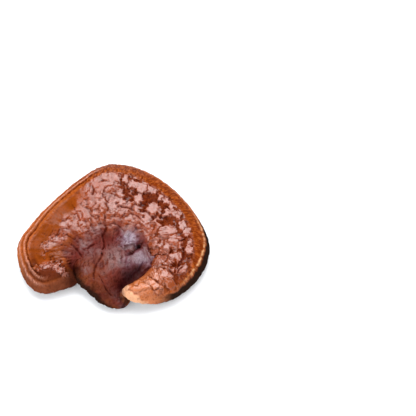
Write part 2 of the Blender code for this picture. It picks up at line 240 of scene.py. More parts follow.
# Level plates of the crust that catch the light, and hollows between them: centre and radius
BRIGHT_PLATES = (
    ((5.6, 28.2), 1.4), ((9.7, 26.0), 2.4), ((15.0, 23.4), 2.5), ((19.3, 22.1), 1.8),
    ((22.5, 20.9), 0.9), ((25.7, 18.1), 1.7), ((28.5, 15.2), 1.7), ((31.8, 12.4), 1.7),
    ((13.2, 17.1), 2.0), ((21.9, 10.5), 3.4), ((18.0, 5.6), 2.2), ((12.6, 11.2), 1.8),
    ((29.2, 7.7), 1.7), ((34.4, 6.5), 2.2), ((39.6, 5.6), 1.3), ((38.1, 0.0), 1.8), ((29.9, -3.0), 3.6),
    ((39.7, -4.2), 2.2), ((33.4, -18.3), 2.0), ((41.5, -15.0), 1.6), ((41.4, -10.9), 1.4),
    ((25.2, -19.8), 2.8), ((27.8, -28.0), 2.8), ((38.4, -25.6), 2.0), ((32.1, -33.8), 2.0),
    ((22.6, -34.3), 2.2), ((-0.3, 30.2), 1.8), ((-1.3, 26.3), 2.0), ((0.5, 15.5), 3.6),
    ((-5.0, 12.0), 2.6), ((2.0, 20.5), 2.4), ((25.5, -10.5), 3.4), ((33.0, -9.0), 2.6),
    ((7.0, 5.0), 3.0), ((17.5, -1.0), 3.0), ((-38.6, -26.9), 1.5), ((-35.1, -25.3), 0.9),
    ((-29.9, -24.8), 1.9), ((-27.0, -27.2), 1.9), ((-24.0, -29.2), 1.7), ((28.5, -11.5), 2.6),
    ((23.5, -14.5), 2.2), ((29.5, -23.0), 1.8), ((21.5, -25.5), 2.0), ((24.5, -31.0), 1.8),
)
HOLLOWS = (
    ((3.8, 24.7), 1.9), ((6.2, 20.8), 2.3), ((8.3, 17.0), 2.2), ((15.6, 11.6), 2.0), ((19.6, 16.9), 1.9),
    ((26.3, 12.9), 2.2), ((23.9, 6.6), 1.4), ((32.5, 3.6), 1.5), ((38.7, -9.4), 1.9),
    ((34.1, -23.6), 1.9), ((31.4, -25.2), 1.3), ((25.4, 2.8), 1.3), ((36.4, -3.4), 1.2),
    ((17.1, -11.8), 2.0), ((36.0, -14.4), 1.5), ((-37.0, -29.3), 2.4), ((-28.4, -30.0), 2.4),
    ((-33.6, -31.4), 2.2), ((-22.9, -31.8), 2.0), ((-24.2, -22.6), 1.8),
)
HOLLOW_DEPTH = 0.55

# A common plate reaches this share of its width from its middle
COMMON_REACH = 0.35

# Only every fifteenth point of the skin is searched for the one nearest to a chip
SAMPLE_STEP = 15

# Loose chips: range of their slopes, share among the plates and share that glints
LOOSE_LEAN = (0.12, 0.5)
LOOSE_SHARE = 0.05
GLINTING_SHARE = 0.12

# Reach of the strewn seeds from the middle, and of levelling from a seed, in millimetres
SEEDS_REACH = 56.0
LEVEL_REACH = 6.0

# How far cells even out the slope under them, and the slopes where that stops
LEVELLING = 0.4
CHOSEN_LEVELLING = 0.9
FACET_LEVELLING = 0.55
STEEP = (0.55, 1.3)

# Bends of the cells' borders: how far in millimetres, how often per millimetre and where in the noise
PLATE_BENDS = ((0.9, 0.45, 1.5), (0.5, 1.3, 4.5), (0.3, 3.4, 7.5))
FACET_BENDS = ((1.5, 0.35, 2.5), (0.7, 1.1, 6.5), (0.25, 3.5, 7.5))

# Plates stand apart this far in from the smooth band, in millimetres at even steps of rays
ISLAND_REACH = (0.0, 0.0, 0.0, 0.0, 0.0, 0.0, 0.0, 5.0, 13.0, 12.5, 6.5, 5.0, 2.0, 0.0, 0.0)

# Plates begin this share of the growth out from the hub, at even steps of rays
PLATES_FROM = (0.2, 0.2, 0.2, 0.2, 0.2, 0.3, 0.3, 0.35, 0.35, 0.3, 0.16, 0.08, 0.06, 0.06, 0.06)

# Where the crust shines more or less than around it: centre, radius and change
SHINE_SPOTS = (
    ((-16.5, -8.0), 4.5, 0.2), ((0.5, -18.0), 5.0, 0.25), ((4.7, -32.4), 6.0, -0.4),
    ((7.9, -14.5), 2.4, -0.5), ((-30.0, 3.0), 6.0, 0.15), ((-3.0, -2.5), 3.5, -0.2),
    ((10.0, -13.0), 6.0, 0.1), ((8.4, -6.2), 4.0, 0.75), ((-20.0, 17.0), 6.0, -0.3),
)

# Places that lie level and shine: centre, radius and how much. Their outlines are drawn out along a slant
LEVEL_SLANT = ((0.75, -0.35), (0.25, 0.45))
LEVEL_SPOTS = (
    ((8.4, -6.2), 4.6, 0.9), ((15.2, -18.2), 4.6, 0.6), ((9.0, -20.0), 4.5, 0.35),
    ((-14.0, -25.2), 2.8, 0.6), ((-9.4, -1.6), 4.4, 0.6), ((-16.2, -10.2), 4.0, 0.6),
    ((-12.4, -14.2), 3.0, 0.5), ((-32.0, -9.5), 4.5, 0.6), ((-29.5, -16.0), 4.0, 0.5),
    ((-24.8, -14.5), 3.5, 0.6), ((-7.3, -13.6), 2.4, 0.5),
)

# Painted shade where the crust lies in shadow: centre, radius and how much
PAINTED_SHADE_SPOTS = (
    ((9.5, -28.0), 5.6, 1.0), ((14.5, -24.5), 3.0, 0.7), ((4.7, -33.5), 4.0, 0.8),
    ((9.4, -15.2), 1.4, 0.7), ((13.2, -11.4), 1.8, 0.8), ((-4.5, -4.0), 3.0, 0.5),
    ((1.5, -1.0), 2.0, 0.4), ((-19.3, -24.4), 3.0, 1.0), ((-23.5, -22.5), 3.0, 0.5),
    ((13.5, -2.5), 2.4, 0.2), ((-9.0, -34.0), 3.0, 0.4), ((-2.0, -39.0), 5.0, 0.5),
    ((5.6, -39.8), 1.8, 0.8), ((-20.8, -31.0), 4.8, 0.85), ((-10.5, -36.5), 2.0, 0.8),
    ((-7.0, -39.5), 2.0, 0.8),
)

# A point this far under the skin around it, in millimetres and after as many rounds of smoothing, gets
# painted shade as dark as a crack
VALLEY_DEPTH = 0.14
VALLEY_ROUNDS = 10

# Dark zone round the hub: how far it reaches from the hub at even steps of rays
HUB_REACH = (4.0, 5.0, 7.0, 11.0, 16.0, 20.0, 21.0, 19.0, 15.0, 9.0, 4.0, 2.2, 1.8, 1.6, 1.6)

# Rays between which marks of the skin lie, or over which they begin or end
RIGHT_LOBE_RAYS = (12.0, 14.0)
LEFT_FRONT_RAYS = (4.4, 3.0)
DISH_RAYS = (2.2, 8.6)
TIP_RAYS = (17.9, 20.3)
EDGE_LINE_RAYS = (9.0, 14.5)
KNOB_RAYS = (8.0, 11.2)
SPECKLED_RAYS = (15.5, 21.0)
UNDER_TIP_RAYS = (13.0, 20.0)
WRINKLE_RAYS = (2.5, 15.0)

# How far in from the edge marks lie or end, in millimetres, and where the pale tip ends in plan
DISH_INSET = 17.5
FRONT_INSETS = (2.6, 10.5)
ROLL_INSET = 4.0
EDGE_LINE_INSET = 1.6
TIP_WIDTH = 4.6
TIP_END = (8.0, -40.0)

# Shine of the dish, the dark zone and the left front, and of the band with its knobs and speckles
DISH_GLOSS = 0.06
DARK_GLOSS = 0.06
FRONT_GLOSS = 0.05
BAND_GLOSS = 0.05
KNOB_GLOSS = 0.17
SPECKLE_GLOSS = 0.35

# Shine of the stem on its left and on its right
STEM_GLOSS = (0.14, 0.48)

# Smooth outer band: its width at even steps of rays over the whole rim
BAND_WIDTHS = (2.5, 5.0, 7.6, 8.2, 8.6, 9.2, 9.6, 11.0, 10.0, 8.4, 9.2, 6.2, 3.2, 2.4, 2.2)

# Slant of the fine strands on the stem and at the hub, in radians
STRAND_ANGLE = -0.55

# Named inputs of the relief tree and the settings that they take
RELIEF_INPUTS = (
    ("Plate height", "plate_height"),
    ("Facet height", "facet_height"),
    ("Groove depth", "groove_depth"),
    ("Line depth", "line_depth"),
    ("Wrinkle height", "wrinkle_height"),
    ("Fine height", "fine_height"),
    ("Ring height", "ring_height"),
    ("Bark height", "bark_height"),
    ("Rim waves", "rim_waves"),
    ("Grain height", "grain_height"),
    ("Seed", "seed"),
)

# Colours that the settings don't hold: of the left front and its edge, of torn flesh and of the painted
# shade under the lip, of the painted shade in the pores, and of the pore surface's rounded edge, partly
# painted shade
FRONT_COLOUR = (0.075, 0.012, 0.003)
ROLL_COLOUR = (0.125, 0.032, 0.015)
TORN_AND_SHADE_COLOUR = (0.02, 0.009, 0.006)
PORE_SHADE = (0.06, 0.03, 0.018)
PORE_EDGE_AND_SHADE_COLOUR = (0.06, 0.02, 0.01)

# What the crust's colour is multiplied by in streaks, and as painted shade in hollows, dark spots and
# creases
STREAK_SHADE = (0.5, 0.33, 0.2)
HOLLOW_SHADE = (0.34, 0.2, 0.12)
SPOT_SHADE = (0.2, 0.16, 0.25)
CREASE_SHADE = (0.27, 0.12, 0.07)

# Roughness of the clear lacquer on the cap and at the hub and stem, and how strongly it mirrors
LACQUER_ROUGHNESS = 0.14
SATIN_ROUGHNESS = 0.3
LACQUER_IOR = 1.7

# Stage: half the table's width, in metres, and the colours of the lights and of the light all round
TABLE_REACH = 3.0
LIGHT_COLOUR = (0.95, 0.97, 1.0)
ROOM_COLOUR = (0.98, 0.99, 1.0)

# Lights: name, azimuth and elevation in degrees, distance, width and height in metres, and the setting for
# how bright it is
LIGHTS = (
    ("softbox", 180.0, 62.0, 1.1, (1.45, 1.2), "softbox_brightness"),
    ("softbox core", 180.0, 62.0, 1.12, (0.85, 0.7), "core_brightness"),
    ("fill panel", -20.0, 38.0, 1.4, (2.4, 1.8), "fill_brightness"),
    ("side panel", -95.0, 28.0, 1.3, (0.5, 1.2), "side_brightness"),
    ("right panel", 98.0, 50.0, 1.2, (0.75, 0.75), "right_brightness"),
)

# Camera: 85 mm lens, looking down along +Y, with the mushroom at the left of the picture
LENS = 85.0
SENSOR = 36.0
PICTURE = 416
LOOKS_AT = (0.0, -0.0022, 0.008)
SHOWN_AT = (114, 235)


def curve_through(points, where):
    """Points on the smooth curve through points, at fractional indices of any shape."""
    points = np.asarray(points, float)
    points = points.reshape(len(points), -1)
    padded = np.concatenate([2 * points[:1] - points[1:2], points, 2 * points[-1:] - points[-2:-1]])
    where = np.clip(where, 0.0, len(points) - 1.0)
    start = np.minimum(np.floor(where).astype(int), len(points) - 2)
    f = (where - start)[..., None]
    p0, p1, p2, p3 = (padded[start + n] for n in range(4))
    bend = (2 * p0 - 5 * p1 + 4 * p2 - p3) * f**2 + (3 * p1 - p0 - 3 * p2 + p3) * f**3
    return 0.5 * (2 * p1 + (p2 - p0) * f + bend)


def along(values, where):
    """One smooth value at fractional indices of a list of values."""
    return curve_through(values, where)[..., 0]


def rounded_corner(column, share):
    """Bends the grid's two corners at the lobes' tips into round noses."""
    from_end = np.minimum(column, LAST_RAY - column)
    a = np.clip(1 - from_end / CORNER_RAYS, 0.0, 1.0)
    b = np.clip(1 - (1 - share) / CORNER_SHARE, 0.0, 1.0)
    from_end = np.where(a > 0, CORNER_RAYS * (1 - a * np.sqrt(1 - b**2 / 2)), from_end)
    share = np.where(b > 0, 1 - CORNER_SHARE * (1 - b * np.sqrt(1 - a**2 / 2)), share)
    column = np.where(column < LAST_RAY / 2, from_end, LAST_RAY - from_end)
    return column, share


def growth_plan(column, share):
    """Plan place on the cap: column is a fractional ray, share runs from 0 at the stem to 1 at the rim."""
    column, share = rounded_corner(column, share)
    hub, middle, rim = (curve_through([ray[n] for ray in RAYS], column) for n in range(3))
    t = share[..., None]
    return hub * (1 - t) * (1 - 2 * t) + middle * 4 * t * (1 - t) + rim * t * (2 * t - 1)


def outer_rim():
    """Points along the cap's outer rim, from the left lobe's tip to the right one's."""
    return growth_plan(np.linspace(0.0, LAST_RAY, RIM_STEPS), np.ones(RIM_STEPS))


def free_edge():
    """Points along the whole free edge: left inner side, rim and right inner side."""
    up = np.linspace(0.0, 1.0, SIDE_STEPS)
    left = growth_plan(np.zeros(SIDE_STEPS), up)
    right = growth_plan(np.full(SIDE_STEPS, float(LAST_RAY)), up[::-1])
    return np.concatenate([left, outer_rim(), right])


def distance_to(line, plan):
    """Distance from every plan point to a chain of points."""
    start, step = line[:-1], np.diff(line, axis=0)
    length = np.maximum((step**2).sum(1), 1e-9)
    nearest = []
    for places in np.array_split(plan.reshape(-1, 1, 2), 80):
        f = np.clip(((places - start) * step).sum(2) / length, 0.0, 1.0)[:, :, None]
        nearest.append(np.linalg.norm(places - (start + f * step), axis=2).min(1))
    return np.concatenate(nearest).reshape(plan.shape[:-1])


def round_shoulder(q):
    """0 to 1 as a quarter circle."""
    u = 1 - np.clip(q, 0.0, 1.0)
    return np.sqrt(np.maximum(0.0, 1 - u**2))


def slope_shoulder(q):
    """0 to 1 as a slope that eases off at its top."""
    return 1 - (1 - np.clip(q, 0.0, 1.0)) ** 1.7


def swell(plan, spots):
    """Sum of soft round swells."""
    total = np.zeros(plan.shape[:-1])
    for centre, radius, height in spots:
        total += height * np.exp(-((plan - np.array(centre)) ** 2).sum(-1) / radius**2)
    return total


def ease(value, low, high):
    """0 below low, 1 above high and smooth between; low may be the larger one."""
    t = np.clip((value - low) / (high - low), 0.0, 1.0)
    return t * t * (3 - 2 * t)


def window(value, low, high, soft):
    """1 between low and high, 0 outside, with soft ends."""
    return ease(value, low, low + soft) * ease(value, high, high - soft)


def tip_lift(plan):
    near = np.clip(1 - np.linalg.norm(plan - np.array(TIP), axis=-1) / TIP_REACH, 0.0, 1.0)
    return TIP_LIFT * near**2 * (3 - 2 * near)


def ripple(a, b, seed):
    """Smooth noise from -1 to 1 over two coordinates."""
    a, b = np.broadcast_arrays(a, b)
    pairs = zip(a.ravel(), b.ravel())
    return np.array([noise.noise(Vector((p, q, seed))) for p, q in pairs]).reshape(a.shape)


def blend(a, b, share):
    return a + (b - a) * share


def lip_inset(column):
    """How far in from the rim the beaded lip runs."""
    return along(LIP_INSETS, (column - LIP_RAYS[0]) / (LIP_RAYS[1] - LIP_RAYS[0]) * (len(LIP_INSETS) - 1))


def rim_height(plan):
    return RIM_HEIGHT + TIP_RIM_SHARE * tip_lift(plan)


def folds(column, share):
    """Radial folds and broad growth waves of the cap's middle."""
    total = sum(high * ripple(column * across, share * out, seed) for high, across, out, seed in FOLDS)
    wander = WAVE_WANDER * ripple(column * 0.4, share, 5.5)
    total += WAVE_HEIGHT * np.sin(2 * np.pi * (WAVES_ALONG * share + wander))
    return total * window(share, FOLDS_FROM, FOLDS_TO, FOLDS_FADE)


def cap_top(plan, column, share, edge):
    """Height of the cap's top: profile, swells and folds, and the slope to the rim with rings and lip."""
    body = along(TOP_PROFILE, share * (len(TOP_PROFILE) - 1))
    body = body + swell(plan, SWELLS) + folds(column, share)
    body = body + TIP_TOP_SHARE * tip_lift(plan)
    low = rim_height(plan)
    q = edge / along(SLOPE_WIDTHS, column / 2) / (HUB_STEEPNESS + (1 - HUB_STEEPNESS) * share)
    roundness = np.clip(along(ROUNDNESSES, column / 2), 0.0, 1.0)
    shoulder = roundness * round_shoulder(q) + (1 - roundness) * slope_shoulder(q)
    height = low + (body - low) * shoulder
    ringed = window(column, *RINGS_RAYS, 1.2) * window(share, 0.45, 2.0, 0.2)
    wobble = RING_WOBBLE * ripple(column * 4.0, 0 * share, 7.7)
    for inset, half_width, step in RINGS:
        height = height + ringed * step * np.exp(-(((edge + wobble - inset) / half_width) ** 2))
    beads = 1 + BEAD_DEPTH * ripple(column * BEADS_PER_RAY, 0 * share, 2.2)
    lipped = window(column, *LIP_RAYS, 1.0) * window(share, 0.6, 2.0, 0.2)
    off_lip = (edge - lip_inset(column)) / LIP_HALF_WIDTH
    height = height + lipped * beads * LIP_HEIGHT * np.exp(-(off_lip**2))
    return np.where(edge < 1e-6, low, height)


def cap_underside(plan, edge):
    """Height of the pore surface: flat inside and round at the rim, lifted under the tip."""
    flat = np.clip(tip_lift(plan) - TIP_FLAT_LIFT, 0.0, None)
    low = rim_height(plan)
    return low + (flat - low) * round_shoulder(edge / UNDERSIDE_ROUNDING)


def cap_rows(column):
    """Shares along each ray: rows at set distances from the rim, then even rows to the stem."""
    ends = np.stack([growth_plan(column, np.full(len(column), s)) for s in (0.0, 0.5, 1.0)], axis=1)
    length = np.linalg.norm(np.diff(ends, axis=1), axis=2).sum(1)[:, None]
    squeeze = np.minimum(1.0, length / (SHORTEST_RAY * RIM_ROWS[-1]))
    outer = 1 - RIM_ROWS[None, :] * squeeze / length
    inner = outer[:, -1:] * np.linspace(1.0, 0.0, INNER_ROWS + 1)[None, 1:]
    return np.concatenate([outer, inner], axis=1)


def stem_loops(ray, head):
    """Closed loops of the stem's skin from the hub to its end. head holds the first loop's points and ray
    their place between the two sides; the first half of a loop lies on top."""
    share = np.linspace(0.0, 1.0, STEM_ROWS)[1:, None]
    turn = ray.argmax()
    upper = np.arange(len(ray)) <= turn
    left = curve_through([head[0, :2], *STEM_LEFT], share[:, 0] * len(STEM_LEFT))[:, None]
    right = curve_through([head[turn, :2], *STEM_RIGHT], share[:, 0] * len(STEM_RIGHT))[:, None]
    even = 2 * ray / LAST_RAY - 1
    across = even + (np.sin(even * np.pi / 2) - even) * ease(share, 0.0, 0.15)
    flat = 1 - np.abs(across) ** STEM_SQUARENESS
    upward = np.where(upper, 1.0, -1.0) * np.clip(flat, 0.0, 1.0) ** (1 / STEM_SQUARENESS)
    chord = (left + right) / 2 + across[..., None] * (right - left) / 2
    hub = curve_through([r[0] for r in RAYS], (across + 1) / 2 * LAST_RAY)
    hub_left, hub_right = hub[:, :1], hub[:, turn, None]
    ends = hub - (hub_left + hub_right) / 2
    bow = ends - across[..., None] * (hub_right - hub_left) / 2
    plan = chord + bow * (1 - share[..., None]) ** 4
    top = along(STEM_TOP, share * (len(STEM_TOP) - 1))
    foot = along(STEM_FOOT, share * (len(STEM_FOOT) - 1))
    height = (top + foot) / 2 + upward * (top - foot) / 2
    rise = np.where(upper, swell(plan, SWELLS) * np.clip(upward, 0.0, 1.0), 0.0)
    head_rise = np.where(upper, swell(head[:, :2], SWELLS), 0.0)
    near_head = 1 - ease(share, 0.0, HUB_BLEND)
    height = (head[:, 2] - head_rise) * near_head + height * (1 - near_head) + rise
    return np.concatenate([plan, height[..., None]], axis=2)


def cut_off(points):
    """Presses what lies beyond the cut at the stem's end onto the cut. Returns the points, and how ragged
    each is."""
    normal = np.array(STEM_CUT_NORMAL) / np.linalg.norm(STEM_CUT_NORMAL)
    beyond = (points - np.array(STEM_CUT_POINT)) @ normal
    wandering = beyond + TORN_WANDER * ripple(points[..., 0] * 0.35, points[..., 1] * 0.35, 1.7)
    return points - np.clip(beyond, 0.0, None)[..., None] * normal, ease(wandering, TORN_FROM, TORN_TO)


def strip(near, far, before=(), after=()):
    """Faces between two rows of points, near with a whole multiple of far's steps. before and after are the
    points on the border between the rows' first and last points, from near to far."""
    step = (len(near) - 1) // (len(far) - 1)
    last = len(far) - 2
    faces = []
    for n in range(last + 1):
        face = list(near[n * step:(n + 1) * step + 1])
        face += after if n == last else []
        face += [far[n + 1], far[n]]
        face += before[::-1] if n == 0 else []
        faces.append(face)
    return faces


class Skin:
    """Points of the whole skin with their growth coordinates, and its faces by place."""

    def __init__(self):
        self.points, self.ray, self.growth, self.count = [], [], [], 0
        self.faces, self.places = [], []

    def add(self, points, ray, growth):
        """Adds a row of points and returns their numbers."""
        self.points.append(points)
        self.ray.append(np.broadcast_to(ray, len(points)))
        self.growth.append(np.broadcast_to(growth, len(points)))
        self.count += len(points)
        return list(range(self.count - len(points), self.count))

    def cover(self, faces, place):
        self.faces += faces
        self.places += [place] * len(faces)


def grow_skin():
    """The whole skin before its wrinkles: cap top, pore surface and stem in one closed surface."""
    column = np.linspace(0.0, LAST_RAY, COLUMNS + 1)
    share = cap_rows(column)
    columns = np.repeat(column[:, None], share.shape[1], axis=1)
    plan = growth_plan(columns, share)
    edge = distance_to(free_edge(), plan)
    edge[0] = edge[-1] = edge[:, 0] = 0.0
    high = np.dstack([plan, cap_top(plan, columns, share, edge)])
    low = np.dstack([plan, cap_underside(plan, edge)])

    skin = Skin()
    top = []
    for row in range(share.shape[1]):
        step = 2 ** sum(row >= start for start in THINNED_FROM)
        top.append(skin.add(high[::step, row], column[::step], share[::step, row]))
    for near, far in zip(top[:-1], top[1:]):
        skin.cover(strip(near, far), CAP_TOP)

    step = UNDERSIDE_STEP
    near = top[0]
    for row in range(step, share.shape[1], step):
        inside = skin.add(low[step:-1:step, row], column[step:-1:step], share[step:-1:step, row])
        far = [top[row][0], *inside, top[row][-1]]
        between = range(row - step + 1, row)
        before, after = [top[r][0] for r in between], [top[r][-1] for r in between]
        skin.cover([face[::-1] for face in strip(near, far, before, after)], CAP_UNDERSIDE)
        near = far

    loop = top[-1] + near[-2:0:-1]
    points, rays = np.concatenate(skin.points), np.concatenate(skin.ray)
    stem_ray = rays[loop]
    loops, ragged = cut_off(stem_loops(stem_ray, points[loop]))
    for n, stem_row in enumerate(loops):
        following = skin.add(stem_row, stem_ray, -(n + 1) / STEM_ROWS)
        pairs = zip(loop, loop[1:] + loop[:1], following[1:] + following[:1], following)
        skin.cover([list(face) for face in pairs], STEM)
        loop = following
    skin.cover([loop], STEM)
    return skin, np.concatenate([np.zeros(skin.count - ragged.size), ragged.ravel()])


def at_steps(values, ray):
    """One of a list's values, which belong to even steps of rays over the whole rim."""
    return along(values, ray / LAST_RAY * (len(values) - 1))


def plan_tree(places):
    """A search tree over places in plan."""
    tree = kdtree.KDTree(len(places))
    for n, (x, y) in enumerate(places):
        tree.insert(Vector((x, y, 0.0)), n)
    tree.balance()
    return tree


def wobble_of(plan, scale, seed):
    """Vector noise that bends straight borders."""
    return np.array([noise.noise_vector(Vector((x * scale, y * scale, seed)))[:2] for x, y in plan])


def bent_by(plan, bends):
    """Places moved by layers of vector noise: how far in mm, how often per mm and where in the noise."""
    bent = plan
    for reach, scale, seed in bends:
        bent = bent + reach * wobble_of(plan, scale, seed)
    return bent


def cell_relief(bent, plan, seeds, anchors, lean, sink, slope, levelling, soft):
    """Height of plane cells round the seeds. bent are the places to test for the nearest seed, levelling is
    how far each cell evens out the slope under it, and its plane turns about its anchor. Returns the height,
    the gap to the nearest border and the numbers of the two nearest cells."""
    tree = plan_tree(seeds)
    hits = [tree.find_n(Vector((x, y, 0.0)), 2) for x, y in bent]
    cells = np.array([[hit[1] for hit in pair] for pair in hits])
    gap = np.array([pair[1][2] - pair[0][2] for pair in hits])
    gentle = ease(np.linalg.norm(slope, axis=1), STEEP[1], STEEP[0])
    planes = []
    for cell in cells.T:
        off = np.clip(plan - anchors[cell], -LEVEL_REACH, LEVEL_REACH)
        evened = levelling[cell] * np.maximum(gentle, levelling[cell] - 0.5)
        planes.append(((slope * evened[:, None] + lean[cell]) * off).sum(1) - sink[cell])
    share = 0.5 * ease(gap, soft, 0.0)
    return planes[0] * (1 - share) + planes[1] * share, gap, cells


def scattered(chance, size, jitter):
    """Seeds strewn over the whole plan, about one to every square of that size."""
    steps = np.arange(-SEEDS_REACH, SEEDS_REACH, size)
    grid = np.stack(np.meshgrid(steps, steps), axis=2)
    grid[::2, :, 0] += size / 2
    return grid.reshape(-1, 2) + chance.uniform(-jitter, jitter, (len(steps) ** 2, 2)) * size


def plate_marks(plan, ray, growth, inset, slope, settings):
    """Relief of the crust's flat plates. Small chips are gathered into plates: the chosen ones stay level
    and stand apart near the band, and common ones fill the middle. Chips left over lie lower and lean."""
    chance = np.random.default_rng(int(settings.seed))
    chips = scattered(chance, settings.chip_size, 0.45)
    on_top = np.flatnonzero(growth > 0)[::SAMPLE_STEP]
    tree = plan_tree(plan[on_top])

    def nearest(places):
        return on_top[[tree.find(Vector((x, y, 0.0)))[1] for x, y in places]]

    near = nearest(chips)
    chip_ray, chip_growth, chip_inset = ray[near], growth[near], inset[near]

    chosen = np.array([centre for centre, _ in BRIGHT_PLATES])
    radii = np.array([radius for _, radius in BRIGHT_PLATES])
    common = scattered(chance, settings.plate_size, 0.42)
    common_reach = COMMON_REACH * settings.plate_size
    clear = np.linalg.norm(common[:, None] - chosen, axis=2) > radii + common_reach
    common = common[clear.all(1)]
    common_ray = ray[nearest(common)]
    common = common[chance.random(len(common)) > 0.55 * ease(common_ray, *RIGHT_LOBE_RAYS)]
    middles = np.concatenate([chosen, common])
    reach = np.concatenate([radii, np.full(len(common), common_reach)])
    off = np.linalg.norm(chips[:, None] - middles, axis=2) - reach
    plate, outside = off.argmin(1), off.min(1)

    steps_in = chip_inset - at_steps(BAND_WIDTHS, chip_ray)
    apart = steps_in < at_steps(ISLAND_REACH, chip_ray)
    rare = LOOSE_SHARE * ease(chip_ray, 18.0, 17.0)
    loose = np.where(apart, (plate >= len(chosen)) | (outside > 0.6), chance.random(len(chips)) < rare)
    for centre, radius in HOLLOWS:
        in_hollow = np.linalg.norm(chips - centre, axis=1) < radius
        loose |= in_hollow & ((plate >= len(chosen)) | (outside > 0.0))
    depth = np.where(loose, chance.uniform(0.45, 1.0, len(chips)) * ease(steps_in, -1.5, 2.5), 0.0)
    turned = chance.uniform(0, 2 * np.pi, len(chips))
    facing = np.stack([np.cos(turned), np.sin(turned)], axis=1)
    leaning = chance.uniform(*LOOSE_LEAN, len(chips))[:, None] * facing
    lean = chance.uniform(-settings.plate_tilt, settings.plate_tilt, middles.shape)
    lean[:len(chosen)] *= 0.3
    lean = lean[plate] * (1 - 0.6 * ease(chip_ray, *RIGHT_LOBE_RAYS))[:, None]
    is_chosen = np.arange(len(middles)) < len(chosen)
    level = np.where(is_chosen, CHOSEN_LEVELLING, LEVELLING)[plate]
    level = np.where(loose, 0.0, level - 0.2 * ease(chip_ray, 11.5, 13.5))
    shine = np.where(is_chosen, 1.0, chance.uniform(0.7, 1.0, len(middles)))
    glint = np.where(chance.random(len(chips)) < GLINTING_SHARE, 0.85, 0.05)
    names = np.where(loose, len(middles) + np.arange(len(chips)), plate)

    bent = bent_by(plan, PLATE_BENDS)
    sharp = at_steps(ISLAND_REACH, ray) + 1.5 > inset - at_steps(BAND_WIDTHS, ray)
    height, gap, cells = cell_relief(
        bent, plan, chips, np.where(loose[:, None], chips, middles[plate]),
        np.where(loose[:, None], leaning, lean), HOLLOW_DEPTH * depth, slope,
        level, np.where(sharp, 0.35, 1.3))
    cell = cells[:, 0]
    pair = names[cells]
    pair_chance = (pair.min(axis=1) * 7919 + pair.max(axis=1) * 104729) % 101 / 101
    rarer = 0.3 * ease(ray, 11.0, 13.0)
    often = ease(pair_chance, 0.62 + rarer, 0.9 + rarer)
    open_seam = (pair[:, 0] != pair[:, 1]) * np.maximum(0.8 * loose[cells].max(axis=1), often)
    first = at_steps(PLATES_FROM, chip_ray)
    right = ease(chip_ray, 9.6, 10.2) * ease(chip_ray, 19.4, 18.4) * (chip_growth > first)
    left = ease(chip_ray, 3.6, 3.0) * (chip_growth > 0.2) * (plate < len(chosen)) * (outside < 0.4)
    weight = (np.maximum(right, left) * (steps_in > 0))[cell]
    first = at_steps(PLATES_FROM, ray)
    weight = weight * ease(growth, first - 0.05, first + 0.1)
    sunk = depth[cell] * ease(gap, 0.0, 0.3) * weight
    shown = np.where(loose, glint, shine[plate])[cell]
    outline = ease(gap, 0.45, 0.05) * open_seam * weight * (1 - 0.35 * ease(ray, *RIGHT_LOBE_RAYS))
    return height * weight, outline, sunk, weight, shown


def facet_marks(plan, slope, size, tilt, seed):
    """Relief of the broad facets of the cap's middle, which run softly into each other."""
    chance = np.random.default_rng(int(seed) + 1)
    seeds = scattered(chance, size, 0.45)
    lean = chance.uniform(-tilt, tilt, seeds.shape)
    bent = bent_by(plan, FACET_BENDS)
    levelling = np.full(len(seeds), FACET_LEVELLING)
    height, gap, cells = cell_relief(bent, plan, seeds, seeds, lean, 0 * lean[:, 0], slope, levelling, 1.2)
    pair_chance = cells.prod(axis=1) * 6151 % 103 / 103
    shade = chance.random(len(seeds))
    return height, ease(gap, 0.35, 0.0) * ease(pair_chance, 0.72, 1.0), shade[cells[:, 0]]


def level_marks(plan, slope):
    """How much each point belongs to a level spot, and the height that levels the slope there."""
    share, height = np.zeros(len(plan)), np.zeros(len(plan))
    slanting = plan @ np.array(LEVEL_SLANT)
    uneven = 1 + 0.5 * ripple(slanting[:, 0] * 0.5, slanting[:, 1] * 0.9, 7.1)
    uneven += 0.4 * ripple(slanting[:, 0], slanting[:, 1] * 2.0, 2.6)
    for centre, radius, amount in LEVEL_SPOTS:
        off = plan - np.array(centre)
        inside = np.exp(-((np.linalg.norm(off, axis=1) * uneven / radius) ** 2.2))
        share = np.maximum(share, amount * inside)
        height += amount * inside * (slope * np.clip(off, -LEVEL_REACH, LEVEL_REACH)).sum(1)
    return share, height


def crack_depth(plan):
    """Depth of the cracks that stand out."""
    depth = np.zeros(len(plan))
    for deep, half_width, line in CRACKS:
        points = curve_through(line, np.linspace(0.0, len(line) - 1, 8 * len(line)))
        near = ((plan > points.min(0) - 3) & (plan < points.max(0) + 3)).all(1)
        places = plan[near] + 0.3 * wobble_of(plan[near], 0.8, 9.5)
        off = distance_to(points, places)
        broken = 0.5 + 0.7 * ease(ripple(places[:, 0] * 0.6, places[:, 1] * 0.6, 5.1), -0.35, 0.15)
        from_ends = np.minimum(*(np.linalg.norm(places - points[end], axis=1) for end in (0, -1)))
        tapered = 0.3 + 0.7 * ease(from_ends, 0.0, 2.5)
        depth[near] = np.maximum(depth[near], deep * broken * tapered * np.exp(-((off / half_width) ** 2)))
    return depth


